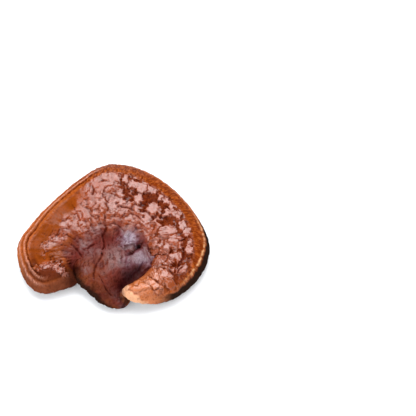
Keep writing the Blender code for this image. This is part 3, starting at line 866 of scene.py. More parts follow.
def rim_marks(plan, ray, growth, inset, rim):
    """Marks along the rim: the pale tip, the beaded lip with painted shade under it, the rings with a
    painted highlight on their crests and painted shade in the groove, and the rolled front edge of the left
    lobe. Returns them, and how much each point lies on a ring's crest."""
    outer = ease(growth, 0.3, 0.5)
    inner_rim = rim + 0.6 * ripple(ray * 6.0, growth * 12.0, 3.3)
    tip_width = TIP_WIDTH * ease(ray, *TIP_RAYS)
    tip = ease(ray, TIP_RAYS[0], 18.6) * ease(inner_rim, tip_width + 0.4, tip_width - 0.5)
    from_tip = np.linalg.norm(plan - np.array(TIP_END), axis=1)
    beads = np.clip(0.65 + 1.8 * ripple(ray * BEADS_PER_RAY * 2.7, 0 * ray, 5.2), 0.0, 1.0)
    beads = blend(beads, 0.6, ease(ray, 15.8, 16.6))
    lip_line = lip_inset(ray)
    lip = window(ray, LIP_RAYS[0], LIP_RAYS[1] + 0.3, 1.6) * np.exp(-(((inner_rim - lip_line) / 0.45) ** 2))
    # Painted shade under the lip
    shade_under_lip = window(ray, LIP_RAYS[0] + 0.3, LIP_RAYS[1] + 1.0, 0.8)
    shade_under_lip = shade_under_lip * ease(inner_rim, lip_line - 0.5, lip_line - 1.3)
    wobbling = inset + RING_WOBBLE * ripple(ray * 4.0, 0 * ray, 7.7)
    crest_a, crest_b, left_groove = (np.exp(-(((wobbling - ring[0]) / 0.55) ** 2)) for ring in RINGS)
    ringed = window(ray, *RINGS_RAYS, 1.2) * outer
    rings = (crest_a + crest_b) * ringed
    edge_line = window(ray, *EDGE_LINE_RAYS, 1.5) * np.exp(-(((inner_rim - EDGE_LINE_INSET) / 0.4) ** 2))
    marks = {
        "tip": tip * outer,
        "pale": ease(from_tip, 32.0, 4.0) * ease(ray, 14.0, 17.0) * outer,
        "lip": lip * beads * outer,
        "shade_under_lip": shade_under_lip * outer,
        "groove_shade": left_groove * ringed,
        # Where the painted highlight goes: the rings' crests and the band's edge line
        "crest": rings + edge_line * outer,
        "roll": ease(ray, *LEFT_FRONT_RAYS) * ease(inset, ROLL_INSET, FRONT_INSETS[0]) * outer,
    }
    return marks, rings


def skin_marks(points, normals, ray, growth, ragged, settings):
    """Values over the skin that the relief and the colours follow."""
    # Vector noise is shifted by this seed, and by the clock where none is set
    noise.seed_set(int(settings.seed))
    plan = points[:, :2]
    hub_line = curve_through([r[0] for r in RAYS], np.linspace(0.0, LAST_RAY, HUB_STEPS))
    hub = distance_to(hub_line, plan) * np.where(growth < 0, -1.0, 1.0)
    inset = distance_to(free_edge(), plan)
    rim = distance_to(outer_rim(), plan)
    on_cap = ease(hub, -1.0, 4.0)
    facing_up = ease(normals[:, 2], 0.15, 0.45)
    slope = normals[:, :2] / np.maximum(normals[:, 2:], 0.45)

    # Cells, and the parts of the cap
    from_edge = blend(inset, rim, ease(ray, 10.0, 12.0))
    plates, plate_seam, hollow, plated, plate_gloss = plate_marks(
        plan, ray, growth, from_edge, slope, settings)
    facets, facet_seam, facet_shade = facet_marks(
        plan, slope, settings.facet_size, settings.facet_tilt, settings.seed)
    width = at_steps(BAND_WIDTHS, ray)
    band = ease(from_edge, width + 0.5, width - 1.5) * on_cap
    dish_end = inset * (1 + 0.3 * ripple(plan[:, 0] * 0.2, plan[:, 1] * 0.2, 3.6))
    dish = window(ray, *DISH_RAYS, 1.2) * ease(dish_end, DISH_INSET, DISH_INSET - 4) * (1 - band)
    hub_reach = at_steps(HUB_REACH, ray)
    wander = 1 + 0.4 * ripple(plan[:, 0] * 0.22, plan[:, 1] * 0.22, 8.8)
    wander = wander + 0.2 * ripple(ray * 2.2, 3 * growth, 1.8)
    dark = ease(hub * wander, hub_reach, hub_reach * 0.3) * ease(growth, 0.9, 0.7)
    levelled, level_height = level_marks(plan, slope)
    open_middle = (1 - band) * (1 - dish) * (1 - 0.8 * plated) * (1 - 0.5 * levelled)
    front = ease(ray, *LEFT_FRONT_RAYS) * window(inset, *FRONT_INSETS, 1.5) * ease(growth, 0.3, 0.5)
    facetted = open_middle * ease(growth, 0.02, 0.2) * (1 - 0.6 * dark) * (1 - front)
    at_rim, rings = rim_marks(plan, ray, growth, inset, rim)
    stem = 1 - on_cap

    # Shine, painted shade and fine unevenness
    gloss = blend(0.6 + 0.4 * facet_shade, plate_gloss, plated)
    gloss = blend(gloss, DISH_GLOSS, dish)
    knobs = window(ray, *KNOB_RAYS, 1.0) * band
    speckled = window(ray, *SPECKLED_RAYS, 1.0) * band * ease(growth, 0.3, 0.5)
    gloss = blend(gloss, BAND_GLOSS + KNOB_GLOSS * knobs + SPECKLE_GLOSS * speckled, band)
    gloss = blend(gloss, FRONT_GLOSS, front * (1 - plated))
    gloss = blend(gloss, DARK_GLOSS, dark)
    gloss = blend(gloss, blend(*STEM_GLOSS, ease(ray, 7.0, 13.0)), stem)
    gloss = np.clip(gloss + swell(plan, SHINE_SPOTS), 0.0, 1.0)
    gloss = gloss + 0.9 * levelled**1.5 * (1 - 0.25 * dark) + 0.6 * rings + 0.6 * at_rim["lip"]
    # Painted shade in the spots where the crust lies in shadow
    shade = np.clip(swell(plan, PAINTED_SHADE_SPOTS), 0.0, 1.0)
    # Painted shade on the stem's wall under the lobe's tip
    under_tip = window(ray, *UNDER_TIP_RAYS, 1.5) * ease(growth, -0.35, -0.6)
    shade = np.maximum(shade, 0.85 * stem * under_tip)
    gloss = np.clip(gloss, 0.0, 1.0) * (1 - 0.6 * at_rim["tip"]) * (1 - ragged) * (1 - 0.8 * shade)
    fine = blend(1.0, 0.5, np.maximum(band, dish)) * blend(1.0, 0.8, plated)
    fine = fine + 1.0 * hollow + 8.0 * knobs + 4.5 * speckled + 1.5 * front
    return {
        "ray": ray,
        "growth": growth,
        "hub": hub,
        "inset": inset,
        "rim": rim,
        "crack": crack_depth(plan) * facing_up,
        "shade": shade,
        "plates": (plates + level_height) * facing_up,
        "facets": facets * facetted * facing_up,
        "seams": np.maximum(plate_seam, 0.5 * facet_seam * facetted) * facing_up,
        "wrinkles": window(ray, *WRINKLE_RAYS, 3.0) * ease(growth, -0.25, 0.1) * open_middle * facing_up,
        "fine": fine,
        "calm": np.maximum(band, dish),
        "dish": dish,
        "band": band,
        "dark": dark,
        "stem": stem,
        "satin": np.maximum(dark, stem),
        "ragged": ragged,
        "hollow": hollow * facing_up,
        "front": front * (1 - plated),
        # Painted lavender sheen on the level, shining spots beside the stem
        "painted_sheen": levelled * np.maximum(stem, dark) * ease(ray, 9.0, 12.0),
        "gloss": gloss * (1 - at_rim["shade_under_lip"]),
        **at_rim,
    }


class Wiring:
    """Adds nodes to a tree. An input is a plain value or another node's output."""

    def __init__(self, tree):
        self.tree = tree

    def add(self, kind, inputs=None, **settings):
        """A new node. inputs go by the number or name of a socket, settings are properties of the node."""
        node = self.tree.nodes.new(kind)
        node.location.x = 180 * len(self.tree.nodes)
        for name, value in settings.items():
            setattr(node, name, value)
        for key, value in (inputs or {}).items():
            if isinstance(value, bpy.types.NodeSocket):
                self.tree.links.new(value, node.inputs[key])
            else:
                node.inputs[key].default_value = value
        return node

    def math(self, operation, *values, clamp=False):
        node = self.add("ShaderNodeMath", dict(enumerate(values)), operation=operation, use_clamp=clamp)
        return node.outputs[0]

    def centred(self, value):
        """Noise from 0 to 1 moved to lie evenly about 0."""
        return self.math("SUBTRACT", value, 0.5)

    def total(self, first, *others):
        for other in others:
            first = self.math("ADD", first, other)
        return first

    def product(self, first, *others):
        for other in others:
            first = self.math("MULTIPLY", first, other)
        return first

    def ease(self, value, low, high, bottom=0.0, top=1.0):
        """bottom at low, top at high and smooth between."""
        inputs = {0: value, 1: low, 2: high, 3: bottom, 4: top}
        return self.add("ShaderNodeMapRange", inputs, interpolation_type="SMOOTHSTEP").outputs[0]

    def blend(self, factor, a, b):
        """A number between a and b."""
        return self.add("ShaderNodeMix", {0: factor, 2: a, 3: b}).outputs[0]

    def tint(self, factor, a, b, way="MIX"):
        """A colour between a and b."""
        inputs = {0: factor, 6: a, 7: b}
        return self.add("ShaderNodeMix", inputs, data_type="RGBA", blend_type=way).outputs[2]

    def noise(self, vector, scale, detail=2.0, roughness=0.5):
        inputs = {"Vector": vector, "Scale": scale, "Detail": detail, "Roughness": roughness}
        return self.add("ShaderNodeTexNoise", inputs, noise_dimensions="3D").outputs[0]

    def vector(self, x, y, z=0.0):
        return self.add("ShaderNodeCombineXYZ", {0: x, 1: y, 2: z}).outputs[0]

    def vectors(self, operation, *values):
        return self.add("ShaderNodeVectorMath", dict(enumerate(values)), operation=operation).outputs[0]

    def scaled(self, vector, factor):
        """A vector times a number."""
        return self.add("ShaderNodeVectorMath", {0: vector, "Scale": factor}, operation="SCALE").outputs[0]

    def grey(self, value):
        """A colour with one value in all its channels."""
        return self.add("ShaderNodeCombineColor", {n: value for n in range(3)}).outputs[0]

    def place_in_mm(self):
        """The place on the piece, for shaders."""
        return self.scaled(self.add("ShaderNodeTexCoord").outputs["Object"], 1 / MM)


def crack_lines(wiring, vector, scale, width):
    """1 along the borders of cells, 0 beside them."""
    inputs = {"Vector": vector, "Scale": scale}
    edge = wiring.add("ShaderNodeTexVoronoi", inputs, feature="DISTANCE_TO_EDGE").outputs["Distance"]
    return wiring.ease(edge, 0.0, width, 1.0, 0.0)


def relief_tree():
    """Geometry Nodes tree that wrinkles, cracks and grains the skin, in millimetres along its normals.
    Returns the tree and its inputs' identifiers by name."""
    tree = bpy.data.node_groups.new("Skin relief", "GeometryNodeTree")
    tree.interface.new_socket("Geometry", in_out="OUTPUT", socket_type="NodeSocketGeometry")
    kinds = {"Geometry": "NodeSocketGeometry"}
    kinds.update((name, "NodeSocketFloat") for name, _ in RELIEF_INPUTS)
    kinds.update((name, "NodeSocketMaterial") for name in ("Lacquer", "Satin crust", "Pore surface"))
    sockets = {}
    for name, kind in kinds.items():
        sockets[name] = tree.interface.new_socket(name, in_out="INPUT", socket_type=kind)
    wiring = Wiring(tree)
    given = wiring.add("NodeGroupInput").outputs

    def mark(name):
        return wiring.add("GeometryNodeInputNamedAttribute", {"Name": name}, data_type="FLOAT").outputs[0]

    position = wiring.add("GeometryNodeInputPosition").outputs[0]
    moved_by_seed = wiring.vector(given["Seed"], given["Seed"])
    shifted = wiring.vectors("ADD", wiring.scaled(position, 1 / MM), moved_by_seed)
    ray, growth = mark("ray"), mark("growth")

    # Cells, and the grooves between them
    plates = wiring.product(mark("plates"), given["Plate height"])
    facets = wiring.product(mark("facets"), given["Facet height"])
    grooves = wiring.product(mark("seams"), given["Groove depth"])

    # Wrinkles, cracks and fine unevenness of the middle
    long_rays = wiring.vector(wiring.product(ray, 1.3), wiring.product(growth, 2.2), given["Seed"])
    broad = wiring.centred(wiring.noise(long_rays, 1.4, 3.0, 0.6))
    swirls = wiring.add("ShaderNodeTexNoise", {"Vector": shifted, "Scale": 0.5}).outputs["Color"]
    bends = wiring.scaled(swirls, 0.8)
    bent_rays = wiring.vectors("ADD", long_rays, wiring.scaled(bends, 0.6))
    broken = wiring.ease(wiring.noise(shifted, 0.22, 3.0), 0.47, 0.56)
    lines = wiring.product(crack_lines(wiring, bent_rays, 1.15, 0.09), broken)
    wrinkled = wiring.total(wiring.product(broad, 1.4), wiring.product(lines, -0.7))
    wrinkled = wiring.product(wrinkled, given["Wrinkle height"], mark("wrinkles"))
    wrinkle_seam = wiring.product(lines, mark("wrinkles"), 0.5)
    radial = wiring.vector(wiring.product(ray, 1.6), wiring.product(growth, 2.6), given["Seed"])
    bent = wiring.vectors("ADD", radial, bends)
    here_and_there = wiring.ease(wiring.noise(shifted, 0.35), 0.52, 0.6)
    uneven = wiring.math("MINIMUM", mark("fine"), 1.0)
    thin_lines = wiring.product(crack_lines(wiring, bent, 0.9, 0.07), here_and_there, uneven)
    fine = wiring.product(wiring.centred(wiring.noise(shifted, 0.85, 4.0, 0.6)), given["Fine height"])
    fine = wiring.product(fine, mark("fine"))
    fine = wiring.total(fine, wiring.product(thin_lines, given["Line depth"], -1.0))

    # Rings, streaks and lumps of the smooth parts
    along_rim = wiring.vector(wiring.product(mark("inset"), 0.75), wiring.product(ray, 0.25))
    rings = wiring.noise(along_rim, 1.0, 2.0)
    along_rays = wiring.vector(wiring.product(ray, 9.0), wiring.product(growth, 5.0))
    streaks = wiring.noise(along_rays, 1.0, 3.0)
    calm = wiring.total(
        wiring.product(wiring.centred(rings), given["Ring height"]),
        wiring.product(wiring.centred(streaks), 0.25),
    )
    calm = wiring.product(calm, mark("calm"))
    lumps = wiring.product(wiring.centred(wiring.noise(shifted, 0.4, 3.0)), 0.8, mark("band"))

    # Bark and torn end of the stem, grain all over and waves of the rim
    along_stem = wiring.vectors("MULTIPLY", shifted, (0.55, 0.24, 0.4))
    bark = wiring.product(wiring.centred(wiring.noise(along_stem, 1.0, 5.0, 0.55)), given["Bark height"])
    slanting = wiring.add(
        "ShaderNodeVectorRotate", {"Vector": shifted, "Angle": STRAND_ANGLE}, rotation_type="Z_AXIS")
    along_strands = wiring.vectors("MULTIPLY", slanting.outputs[0], (0.25, 0.85, 0.4))
    strands = wiring.noise(along_strands, 1.0, 5.0, 0.62)
    strands = wiring.product(wiring.centred(strands), 0.6)
    bark = wiring.product(wiring.total(bark, strands), mark("satin"))
    torn = wiring.product(wiring.centred(wiring.noise(shifted, 0.6, 5.0, 0.7)), 3.4, mark("ragged"))
    grain = wiring.product(wiring.centred(wiring.noise(shifted, 1.6, 2.0)), given["Grain height"])
    waves = wiring.noise(wiring.vector(wiring.product(ray, 2.6), 0.0, given["Seed"]), 1.0, 3.0, 0.6)
    waves = wiring.product(wiring.centred(waves), given["Rim waves"], wiring.ease(mark("rim"), 6.0, 0.5))
    crack = mark("crack")
    sunk = wiring.product(wiring.math("ADD", crack, grooves), -1.0)
    height = wiring.total(plates, facets, wrinkled, fine, calm, lumps, bark, torn, grain, waves, sunk)

    # The moved skin, the painted shade of its creases and cracks, and its materials
    offset = wiring.scaled(wiring.add("GeometryNodeInputNormal").outputs[0], wiring.product(height, MM))
    moved = wiring.add("GeometryNodeSetPosition", {"Geometry": given["Geometry"], "Offset": offset})
    # Where painted shade goes: seams, wrinkles, thin lines and cracks
    seams = wiring.math("MAXIMUM", mark("seams"), wrinkle_seam)
    seams = wiring.math("MAXIMUM", seams, wiring.product(thin_lines, 0.8))
    seams = wiring.math("ADD", seams, wiring.product(crack, 2.0), clamp=True)
    kept = wiring.add(
        "GeometryNodeStoreNamedAttribute",
        {"Geometry": moved.outputs[0], "Name": "crease_shade", "Value": seams},
        data_type="FLOAT", domain="POINT",
    )
    whole = wiring.add("GeometryNodeRealizeInstances", {"Geometry": kept.outputs[0]})
    skinned = wiring.add(
        "GeometryNodeSetMaterial", {"Geometry": whole.outputs[0], "Material": given["Lacquer"]})
    place = wiring.add("GeometryNodeInputNamedAttribute", {"Name": "place"}, data_type="INT").outputs[0]
    satin = wiring.add("FunctionNodeCompare", {0: mark("satin"), 1: 0.5}, operation="GREATER_THAN")
    pored = wiring.add(
        "FunctionNodeCompare", {2: place, 3: CAP_UNDERSIDE}, data_type="INT", operation="EQUAL")
    for chosen, name in ((satin, "Satin crust"), (pored, "Pore surface")):
        skinned = wiring.add(
            "GeometryNodeSetMaterial",
            {"Geometry": skinned.outputs[0], "Selection": chosen.outputs[0], "Material": given[name]},
        )
    wiring.add("NodeGroupOutput", {0: skinned.outputs[0]})
    return tree, {name: socket.identifier for name, socket in sockets.items()}


def read_vectors(items, name):
    """One vector of each item, as the rows of an array."""
    values = np.zeros(len(items) * 3, np.float32)
    items.foreach_get(name, values)
    return values.reshape(-1, 3)


def store(mesh, name, kind, domain, values):
    """Keeps one value of each point or face in a named attribute."""
    field = "vector" if kind == "FLOAT_VECTOR" else "value"
    mesh.attributes.new(name, kind, domain).data.foreach_set(field, values)


def grown_object(context):
    """The whole wrinkled skin as one plain mesh, with the marks of each point."""
    settings = context.scene.reishi_skin
    skin, ragged = grow_skin()
    points, ray, growth = (np.concatenate(rows) for rows in (skin.points, skin.ray, skin.growth))
    low, high = FRAME_BOX
    middle = (points[:, :2].min(0) + points[:, :2].max(0)) / 2 * MM
    shift = np.array([(low.x + high.x) / 2 - middle[0], (low.y + high.y) / 2 - middle[1], low.z])
    data = bpy.data.meshes.new("whole skin")
    data.from_pydata((points * MM + shift).tolist(), [], skin.faces)
    turned = bmesh.new()
    turned.from_mesh(data)
    bmesh.ops.recalc_face_normals(turned, faces=turned.faces)
    turned.to_mesh(data)
    turned.free()
    normals = read_vectors(data.vertex_normals, "vector")
    marks = skin_marks(points, normals, ray, growth, ragged, settings)
    for name, values in marks.items():
        store(data, name, "FLOAT", "POINT", np.asarray(values, np.float32))
    store(data, "place", "INT", "FACE", skin.places)
    data.shade_smooth()
    grown = bpy.data.objects.new("whole skin", data)
    context.scene.collection.objects.link(grown)

    tree, identifiers = relief_tree()
    modifier = grown.modifiers.new("Skin relief", "NODES")
    modifier.node_group = tree
    for name, setting in RELIEF_INPUTS:
        modifier[identifiers[name]] = float(getattr(settings, setting))
    modifier[identifiers["Lacquer"]] = crust_material("lacquered crust", settings, LACQUER_ROUGHNESS)
    modifier[identifiers["Satin crust"]] = crust_material("satin crust", settings, SATIN_ROUGHNESS)
    modifier[identifiers["Pore surface"]] = pore_material(settings)
    evaluated = grown.evaluated_get(context.evaluated_depsgraph_get())
    plain = bpy.data.meshes.new_from_object(evaluated)
    grown.modifiers.remove(modifier)
    bpy.data.objects.remove(grown)
    bpy.data.meshes.remove(data)
    places = read_vectors(plain.vertices, "co")
    plain.vertices.foreach_set("co", np.clip(places, tuple(low), tuple(high)).ravel())
    plain.update()
    normals = read_vectors(plain.vertex_normals, "vector")
    store(plain, "skin_normal", "FLOAT_VECTOR", "POINT", normals.ravel())
    # How deep each point lies in a valley, for the painted shade there
    valleys = valley_depths(plain, normals, VALLEY_ROUNDS) / VALLEY_DEPTH
    store(plain, "valley_shade", "FLOAT", "POINT", np.clip(valleys, 0.0, 1.0))
    plain.name = "whole skin"
    return plain


def valley_depths(mesh, normals, rounds):
    """How far each point lies under the smoothed skin around it, in millimetres; negative on ridges."""
    count = len(mesh.vertices)
    places = read_vectors(mesh.vertices, "co")
    ends = np.zeros(len(mesh.edges) * 2, np.int32)
    mesh.edges.foreach_get("vertices", ends)
    a, b = ends.reshape(-1, 2).T
    neighbours = np.bincount(a, minlength=count) + np.bincount(b, minlength=count)
    smooth = places
    for _ in range(rounds):
        around = [
            np.bincount(a, smooth[b, n], count) + np.bincount(b, smooth[a, n], count) for n in range(3)
        ]
        smooth = (smooth + np.stack(around, axis=1) / neighbours[:, None]) / 2
    return ((smooth - places) * normals).sum(1) / MM


def parted(name, places, context):
    """One piece of the whole skin: its own faces, closed along the hub, lit as if it were still whole."""
    whole = bpy.data.meshes.get("whole skin") or grown_object(context)
    mesh = bmesh.new()
    mesh.from_mesh(whole)
    place = mesh.faces.layers.int["place"]
    others = [face for face in mesh.faces if face[place] not in places]
    bmesh.ops.delete(mesh, geom=others, context="FACES")
    rim = [part for part in mesh.edges if part.is_boundary]
    bmesh.ops.contextual_create(mesh, geom=rim)
    for part in rim:
        part.smooth = False
    data = bpy.data.meshes.new(name)
    mesh.to_mesh(data)
    mesh.free()
    for material in whole.materials:
        data.materials.append(material)
    normals = read_vectors(data.attributes["skin_normal"].data, "vector")
    data.normals_split_custom_set_from_vertices(normals.tolist())
    piece = bpy.data.objects.new(name, data)
    context.scene.collection.objects.link(piece)
    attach(piece, "root")
    return piece


def paint(colour):
    """A colour with full opacity, as sockets take it."""
    return (*colour, 1.0)


def new_material(name):
    """A material with only its Principled BSDF, wired to the output."""
    made = bpy.data.materials.new(name)
    made.use_nodes = True
    shader = made.node_tree.nodes["Principled BSDF"]
    return made, Wiring(made.node_tree), shader.inputs


def grain_group():
    """Fine mottling that every skin of the mushroom shares."""
    made = bpy.data.node_groups.get("Grain")
    if made:
        return made
    made = bpy.data.node_groups.new("Grain", "ShaderNodeTree")
    for name, value in (("Spots per mm", 1.0), ("Strength", 0.3)):
        socket = made.interface.new_socket(name, in_out="INPUT", socket_type="NodeSocketFloat")
        socket.default_value = value
    for name in ("Shade", "Height"):
        made.interface.new_socket(name, in_out="OUTPUT", socket_type="NodeSocketFloat")
    wiring = Wiring(made)
    given = wiring.add("NodeGroupInput").outputs
    place = wiring.place_in_mm()
    coarse = wiring.noise(place, wiring.product(given["Spots per mm"], 0.25), 4.0, 0.6)
    fine = wiring.noise(place, wiring.product(given["Spots per mm"], 1.6), 3.0, 0.6)
    both = wiring.total(wiring.product(coarse, 0.6), wiring.product(fine, 0.4))
    shade = wiring.total(wiring.product(wiring.centred(both), given["Strength"], 4.0), 1.0)
    wiring.add("NodeGroupOutput", {"Shade": shade, "Height": both})
    return made


def shader_mark(wiring, name):
    return wiring.add("ShaderNodeAttribute", attribute_name=name).outputs["Fac"]


def crust_material(name, settings, coat_roughness):
    """Lacquered crust: dark at the hub, orange towards the rim, brown and duller on the stem, with painted
    shade in its hollows, creases and dark spots, and painted highlights on the rings' crests and beside the
    stem.
    """
    made, wiring, shader = new_material(name)

    def mark(wanted):
        return shader_mark(wiring, wanted)

    grain = wiring.add("ShaderNodeGroup", {"Spots per mm": 1.1, "Strength": 0.36}, node_tree=grain_group())
    place = wiring.place_in_mm()
    hub, inset, ray = mark("hub"), mark("inset"), mark("ray")

    # Colours of the middle, the smooth parts, the hub and the stem
    colour = wiring.tint(mark("calm"), paint(settings.inner_colour), paint(settings.outer_colour))
    colour = wiring.tint(mark("dish"), colour, paint(settings.dish_colour))
    across_rays = wiring.vector(wiring.product(ray, 13.0), wiring.product(inset, 0.3))
    streaks = wiring.ease(wiring.noise(across_rays, 1.0, 3.0, 0.6), 0.4, 0.56)
    paler = wiring.product(mark("band"), wiring.ease(ray, 12.0, 10.0, 0.2, 0.25))
    colour = wiring.tint(paler, colour, paint(settings.margin_colour))
    streaked = wiring.tint(streaks, colour, paint(STREAK_SHADE), way="MULTIPLY")
    colour = wiring.tint(wiring.product(mark("band"), wiring.ease(ray, 7.0, 9.0)), colour, streaked)
    colour = wiring.tint(mark("dark"), colour, paint(settings.hub_colour))
    bark = wiring.tint(wiring.ease(ray, 3.0, 13.0), paint(settings.stem_colour), paint(settings.hub_colour))
    patchy = wiring.ease(wiring.noise(place, 0.22, 4.0, 0.6), 0.42, 0.62)
    bark = wiring.tint(wiring.product(patchy, 0.6), bark, paint(settings.hub_colour))
    colour = wiring.tint(wiring.ease(hub, 3.0, -5.0), colour, bark)

    # Marks laid over them
    edge = wiring.product(wiring.ease(mark("rim"), 2.4, 0.5), wiring.ease(ray, 1.5, 4.0, 0.3, 1.0))
    # Painted highlight along the crests, broken up along the rim
    glints = wiring.noise(wiring.vector(wiring.product(ray, 16.0), inset), 1.0, 3.0, 0.6)
    glints = wiring.ease(glints, 0.42, 0.6)
    crest = wiring.product(mark("crest"), wiring.blend(glints, 0.25, 0.95))
    layers = (
        (wiring.product(mark("front"), 0.85), FRONT_COLOUR),
        (wiring.product(edge, 0.5), settings.margin_colour),
        (wiring.product(mark("roll"), 0.85), ROLL_COLOUR),
        (crest, settings.crest_highlight_colour),
        (mark("lip"), settings.lip_colour),
        (wiring.product(mark("pale"), 0.9), settings.young_colour),
        (mark("tip"), settings.tip_colour),
        (mark("painted_sheen"), settings.painted_sheen_colour),
    )
    for share, shade in layers:
        colour = wiring.tint(share, colour, paint(shade))

    # Painted shade in hollows, dark spots, creases and under the lip, then torn flesh and grain
    # Painted shade in valleys, creases, cracks and the left groove
    valleys = wiring.product(mark("valley_shade"), wiring.ease(ray, *RIGHT_LOBE_RAYS, 0.9, 0.5))
    creases = wiring.product(wiring.math("MAXIMUM", mark("crease_shade"), valleys), 0.9)
    creases = wiring.math("ADD", creases, wiring.product(mark("groove_shade"), 0.2), clamp=True)
    # Painted shade: the colour is multiplied down in the hollows between plates, the shadow spots and the
    # creases
    darkened = (mark("hollow"), HOLLOW_SHADE), (mark("shade"), SPOT_SHADE), (creases, CREASE_SHADE)
    for share, shade in darkened:
        colour = wiring.tint(share, colour, wiring.tint(1.0, colour, paint(shade), way="MULTIPLY"))
    # Torn flesh at the cut end, and painted shade under the lip
    shaded = wiring.math("MAXIMUM", wiring.product(mark("ragged"), 0.85), mark("shade_under_lip"))
    colour = wiring.tint(shaded, colour, paint(TORN_AND_SHADE_COLOUR))
    colour = wiring.tint(1.0, colour, wiring.grey(grain.outputs["Shade"]), way="MULTIPLY")
    wiring.tree.links.new(colour, shader["Base Color"])

    # Roughness, clear lacquer and fine relief
    rough = wiring.total(0.4, wiring.product(mark("stem"), 0.1), wiring.product(mark("ragged"), 0.3))
    wiring.tree.links.new(rough, shader["Roughness"])
    worn = wiring.ease(wiring.noise(place, 1.4, 4.0, 0.65), 0.35, 0.6, 0.5, 1.0)
    clear = wiring.math("SUBTRACT", 1.0, wiring.product(creases, 0.95))
    wiring.tree.links.new(wiring.product(mark("gloss"), worn, clear), shader["Coat Weight"])
    shader["Coat Roughness"].default_value = coat_roughness
    shader["Coat IOR"].default_value = LACQUER_IOR
    shader["Specular IOR Level"].default_value = 0.0
    relief = {"Strength": 0.25, "Distance": 0.12 * MM, "Height": grain.outputs["Height"]}
    wiring.tree.links.new(wiring.add("ShaderNodeBump", relief).outputs[0], shader["Normal"])
    return made


def pore_material(settings):
    """Dull tan pore surface with fine pores."""
    made, wiring, shader = new_material("pore surface")
    place = wiring.place_in_mm()
    cells = wiring.add("ShaderNodeTexVoronoi", {"Vector": place, "Scale": 2.6}, feature="F1")
    pores = cells.outputs["Distance"]
    grain = wiring.add("ShaderNodeGroup", {"Spots per mm": 0.6, "Strength": 0.3}, node_tree=grain_group())
    # Painted shade in the pore holes
    hole = wiring.ease(pores, 0.32, 0.1)
    colour = wiring.tint(wiring.product(hole, 0.7), paint(settings.pore_colour), paint(PORE_SHADE))
    # The crust's colour rolled round the rim, darkened with painted shade
    rolled = wiring.ease(shader_mark(wiring, "rim"), 5.0, 2.5)
    colour = wiring.tint(rolled, colour, paint(PORE_EDGE_AND_SHADE_COLOUR))
    colour = wiring.tint(1.0, colour, wiring.grey(grain.outputs["Shade"]), way="MULTIPLY")
    wiring.tree.links.new(colour, shader["Base Color"])
    shader["Roughness"].default_value = 0.8
    relief = {"Strength": 0.6, "Distance": 0.15 * MM, "Height": pores}
    wiring.tree.links.new(wiring.add("ShaderNodeBump", relief).outputs[0], shader["Normal"])
    return made


def table_material(colour):
    made, _, shader = new_material("pale table")
    shader["Base Color"].default_value = paint(colour)
    shader["Roughness"].default_value = 0.7
    return made


def add_table(context, colour):
    """The table top that the mushroom lies on."""
    data = bpy.data.meshes.new("table_top")
    corners = [(x * TABLE_REACH, y * TABLE_REACH, 0.0) for x, y in ((-1, -1), (1, -1), (1, 1), (-1, 1))]
    data.from_pydata(corners, [], [(0, 1, 2, 3)])
    data.materials.append(table_material(colour))
    table = bpy.data.objects.new("table_top", data)
    context.scene.collection.objects.link(table)


def add_room(context, brightness):
    """Even light from all round."""
    world = bpy.data.worlds.new("room")
    world.use_nodes = True
    background = world.node_tree.nodes["Background"].inputs
    background["Color"].default_value = paint(ROOM_COLOUR)
    background["Strength"].default_value = brightness
    context.scene.world = world


def aim(thing, place, target):
    """Puts a light or camera at a place, facing a target."""
    thing.location = place
    thing.rotation_mode = "QUATERNION"
    thing.rotation_quaternion = (Vector(target) - Vector(place)).to_track_quat("-Z", "Y")


def direction(azimuth, elevation):
    """Unit vector towards a place round the mushroom; azimuth 0 is the camera's side and 180 behind."""
    a, e = math.radians(azimuth), math.radians(elevation)
    return Vector((math.sin(a) * math.cos(e), -math.cos(a) * math.cos(e), math.sin(e)))


def add_camera(context, elevation, distance):
    """A camera in front of the mushroom that shows the point LOOKS_AT at the pixel SHOWN_AT."""
    data = bpy.data.cameras.new("camera")
    data.lens, data.sensor_width = LENS, SENSOR
    camera = bpy.data.objects.new("camera", data)
    context.scene.collection.objects.link(camera)
    out = direction(0.0, elevation)
    side = Vector((1.0, 0.0, 0.0))
    up = out.cross(side)
    pixel = SENSOR / LENS / PICTURE
    right = (SHOWN_AT[0] - PICTURE / 2) * pixel * side
    above = (PICTURE / 2 - SHOWN_AT[1]) * pixel * up
    camera.rotation_mode = "QUATERNION"
    camera.rotation_quaternion = (-out).to_track_quat("-Z", "Y")
    camera.location = Vector(LOOKS_AT) + distance * (out - right - above)
    context.scene.camera = camera


def add_softbox(context, name, towards, distance, size, radiance):
    """A rectangular light that faces the mushroom. radiance is how bright its face is."""
    data = bpy.data.lights.new(name, "AREA")
    data.shape = "RECTANGLE"
    data.size, data.size_y = size
    data.energy = radiance * math.pi * size[0] * size[1]
    data.color = LIGHT_COLOUR
    light = bpy.data.objects.new(name, data)
    context.scene.collection.objects.link(light)
    aim(light, towards * distance, (0.0, 0.0, 0.0))


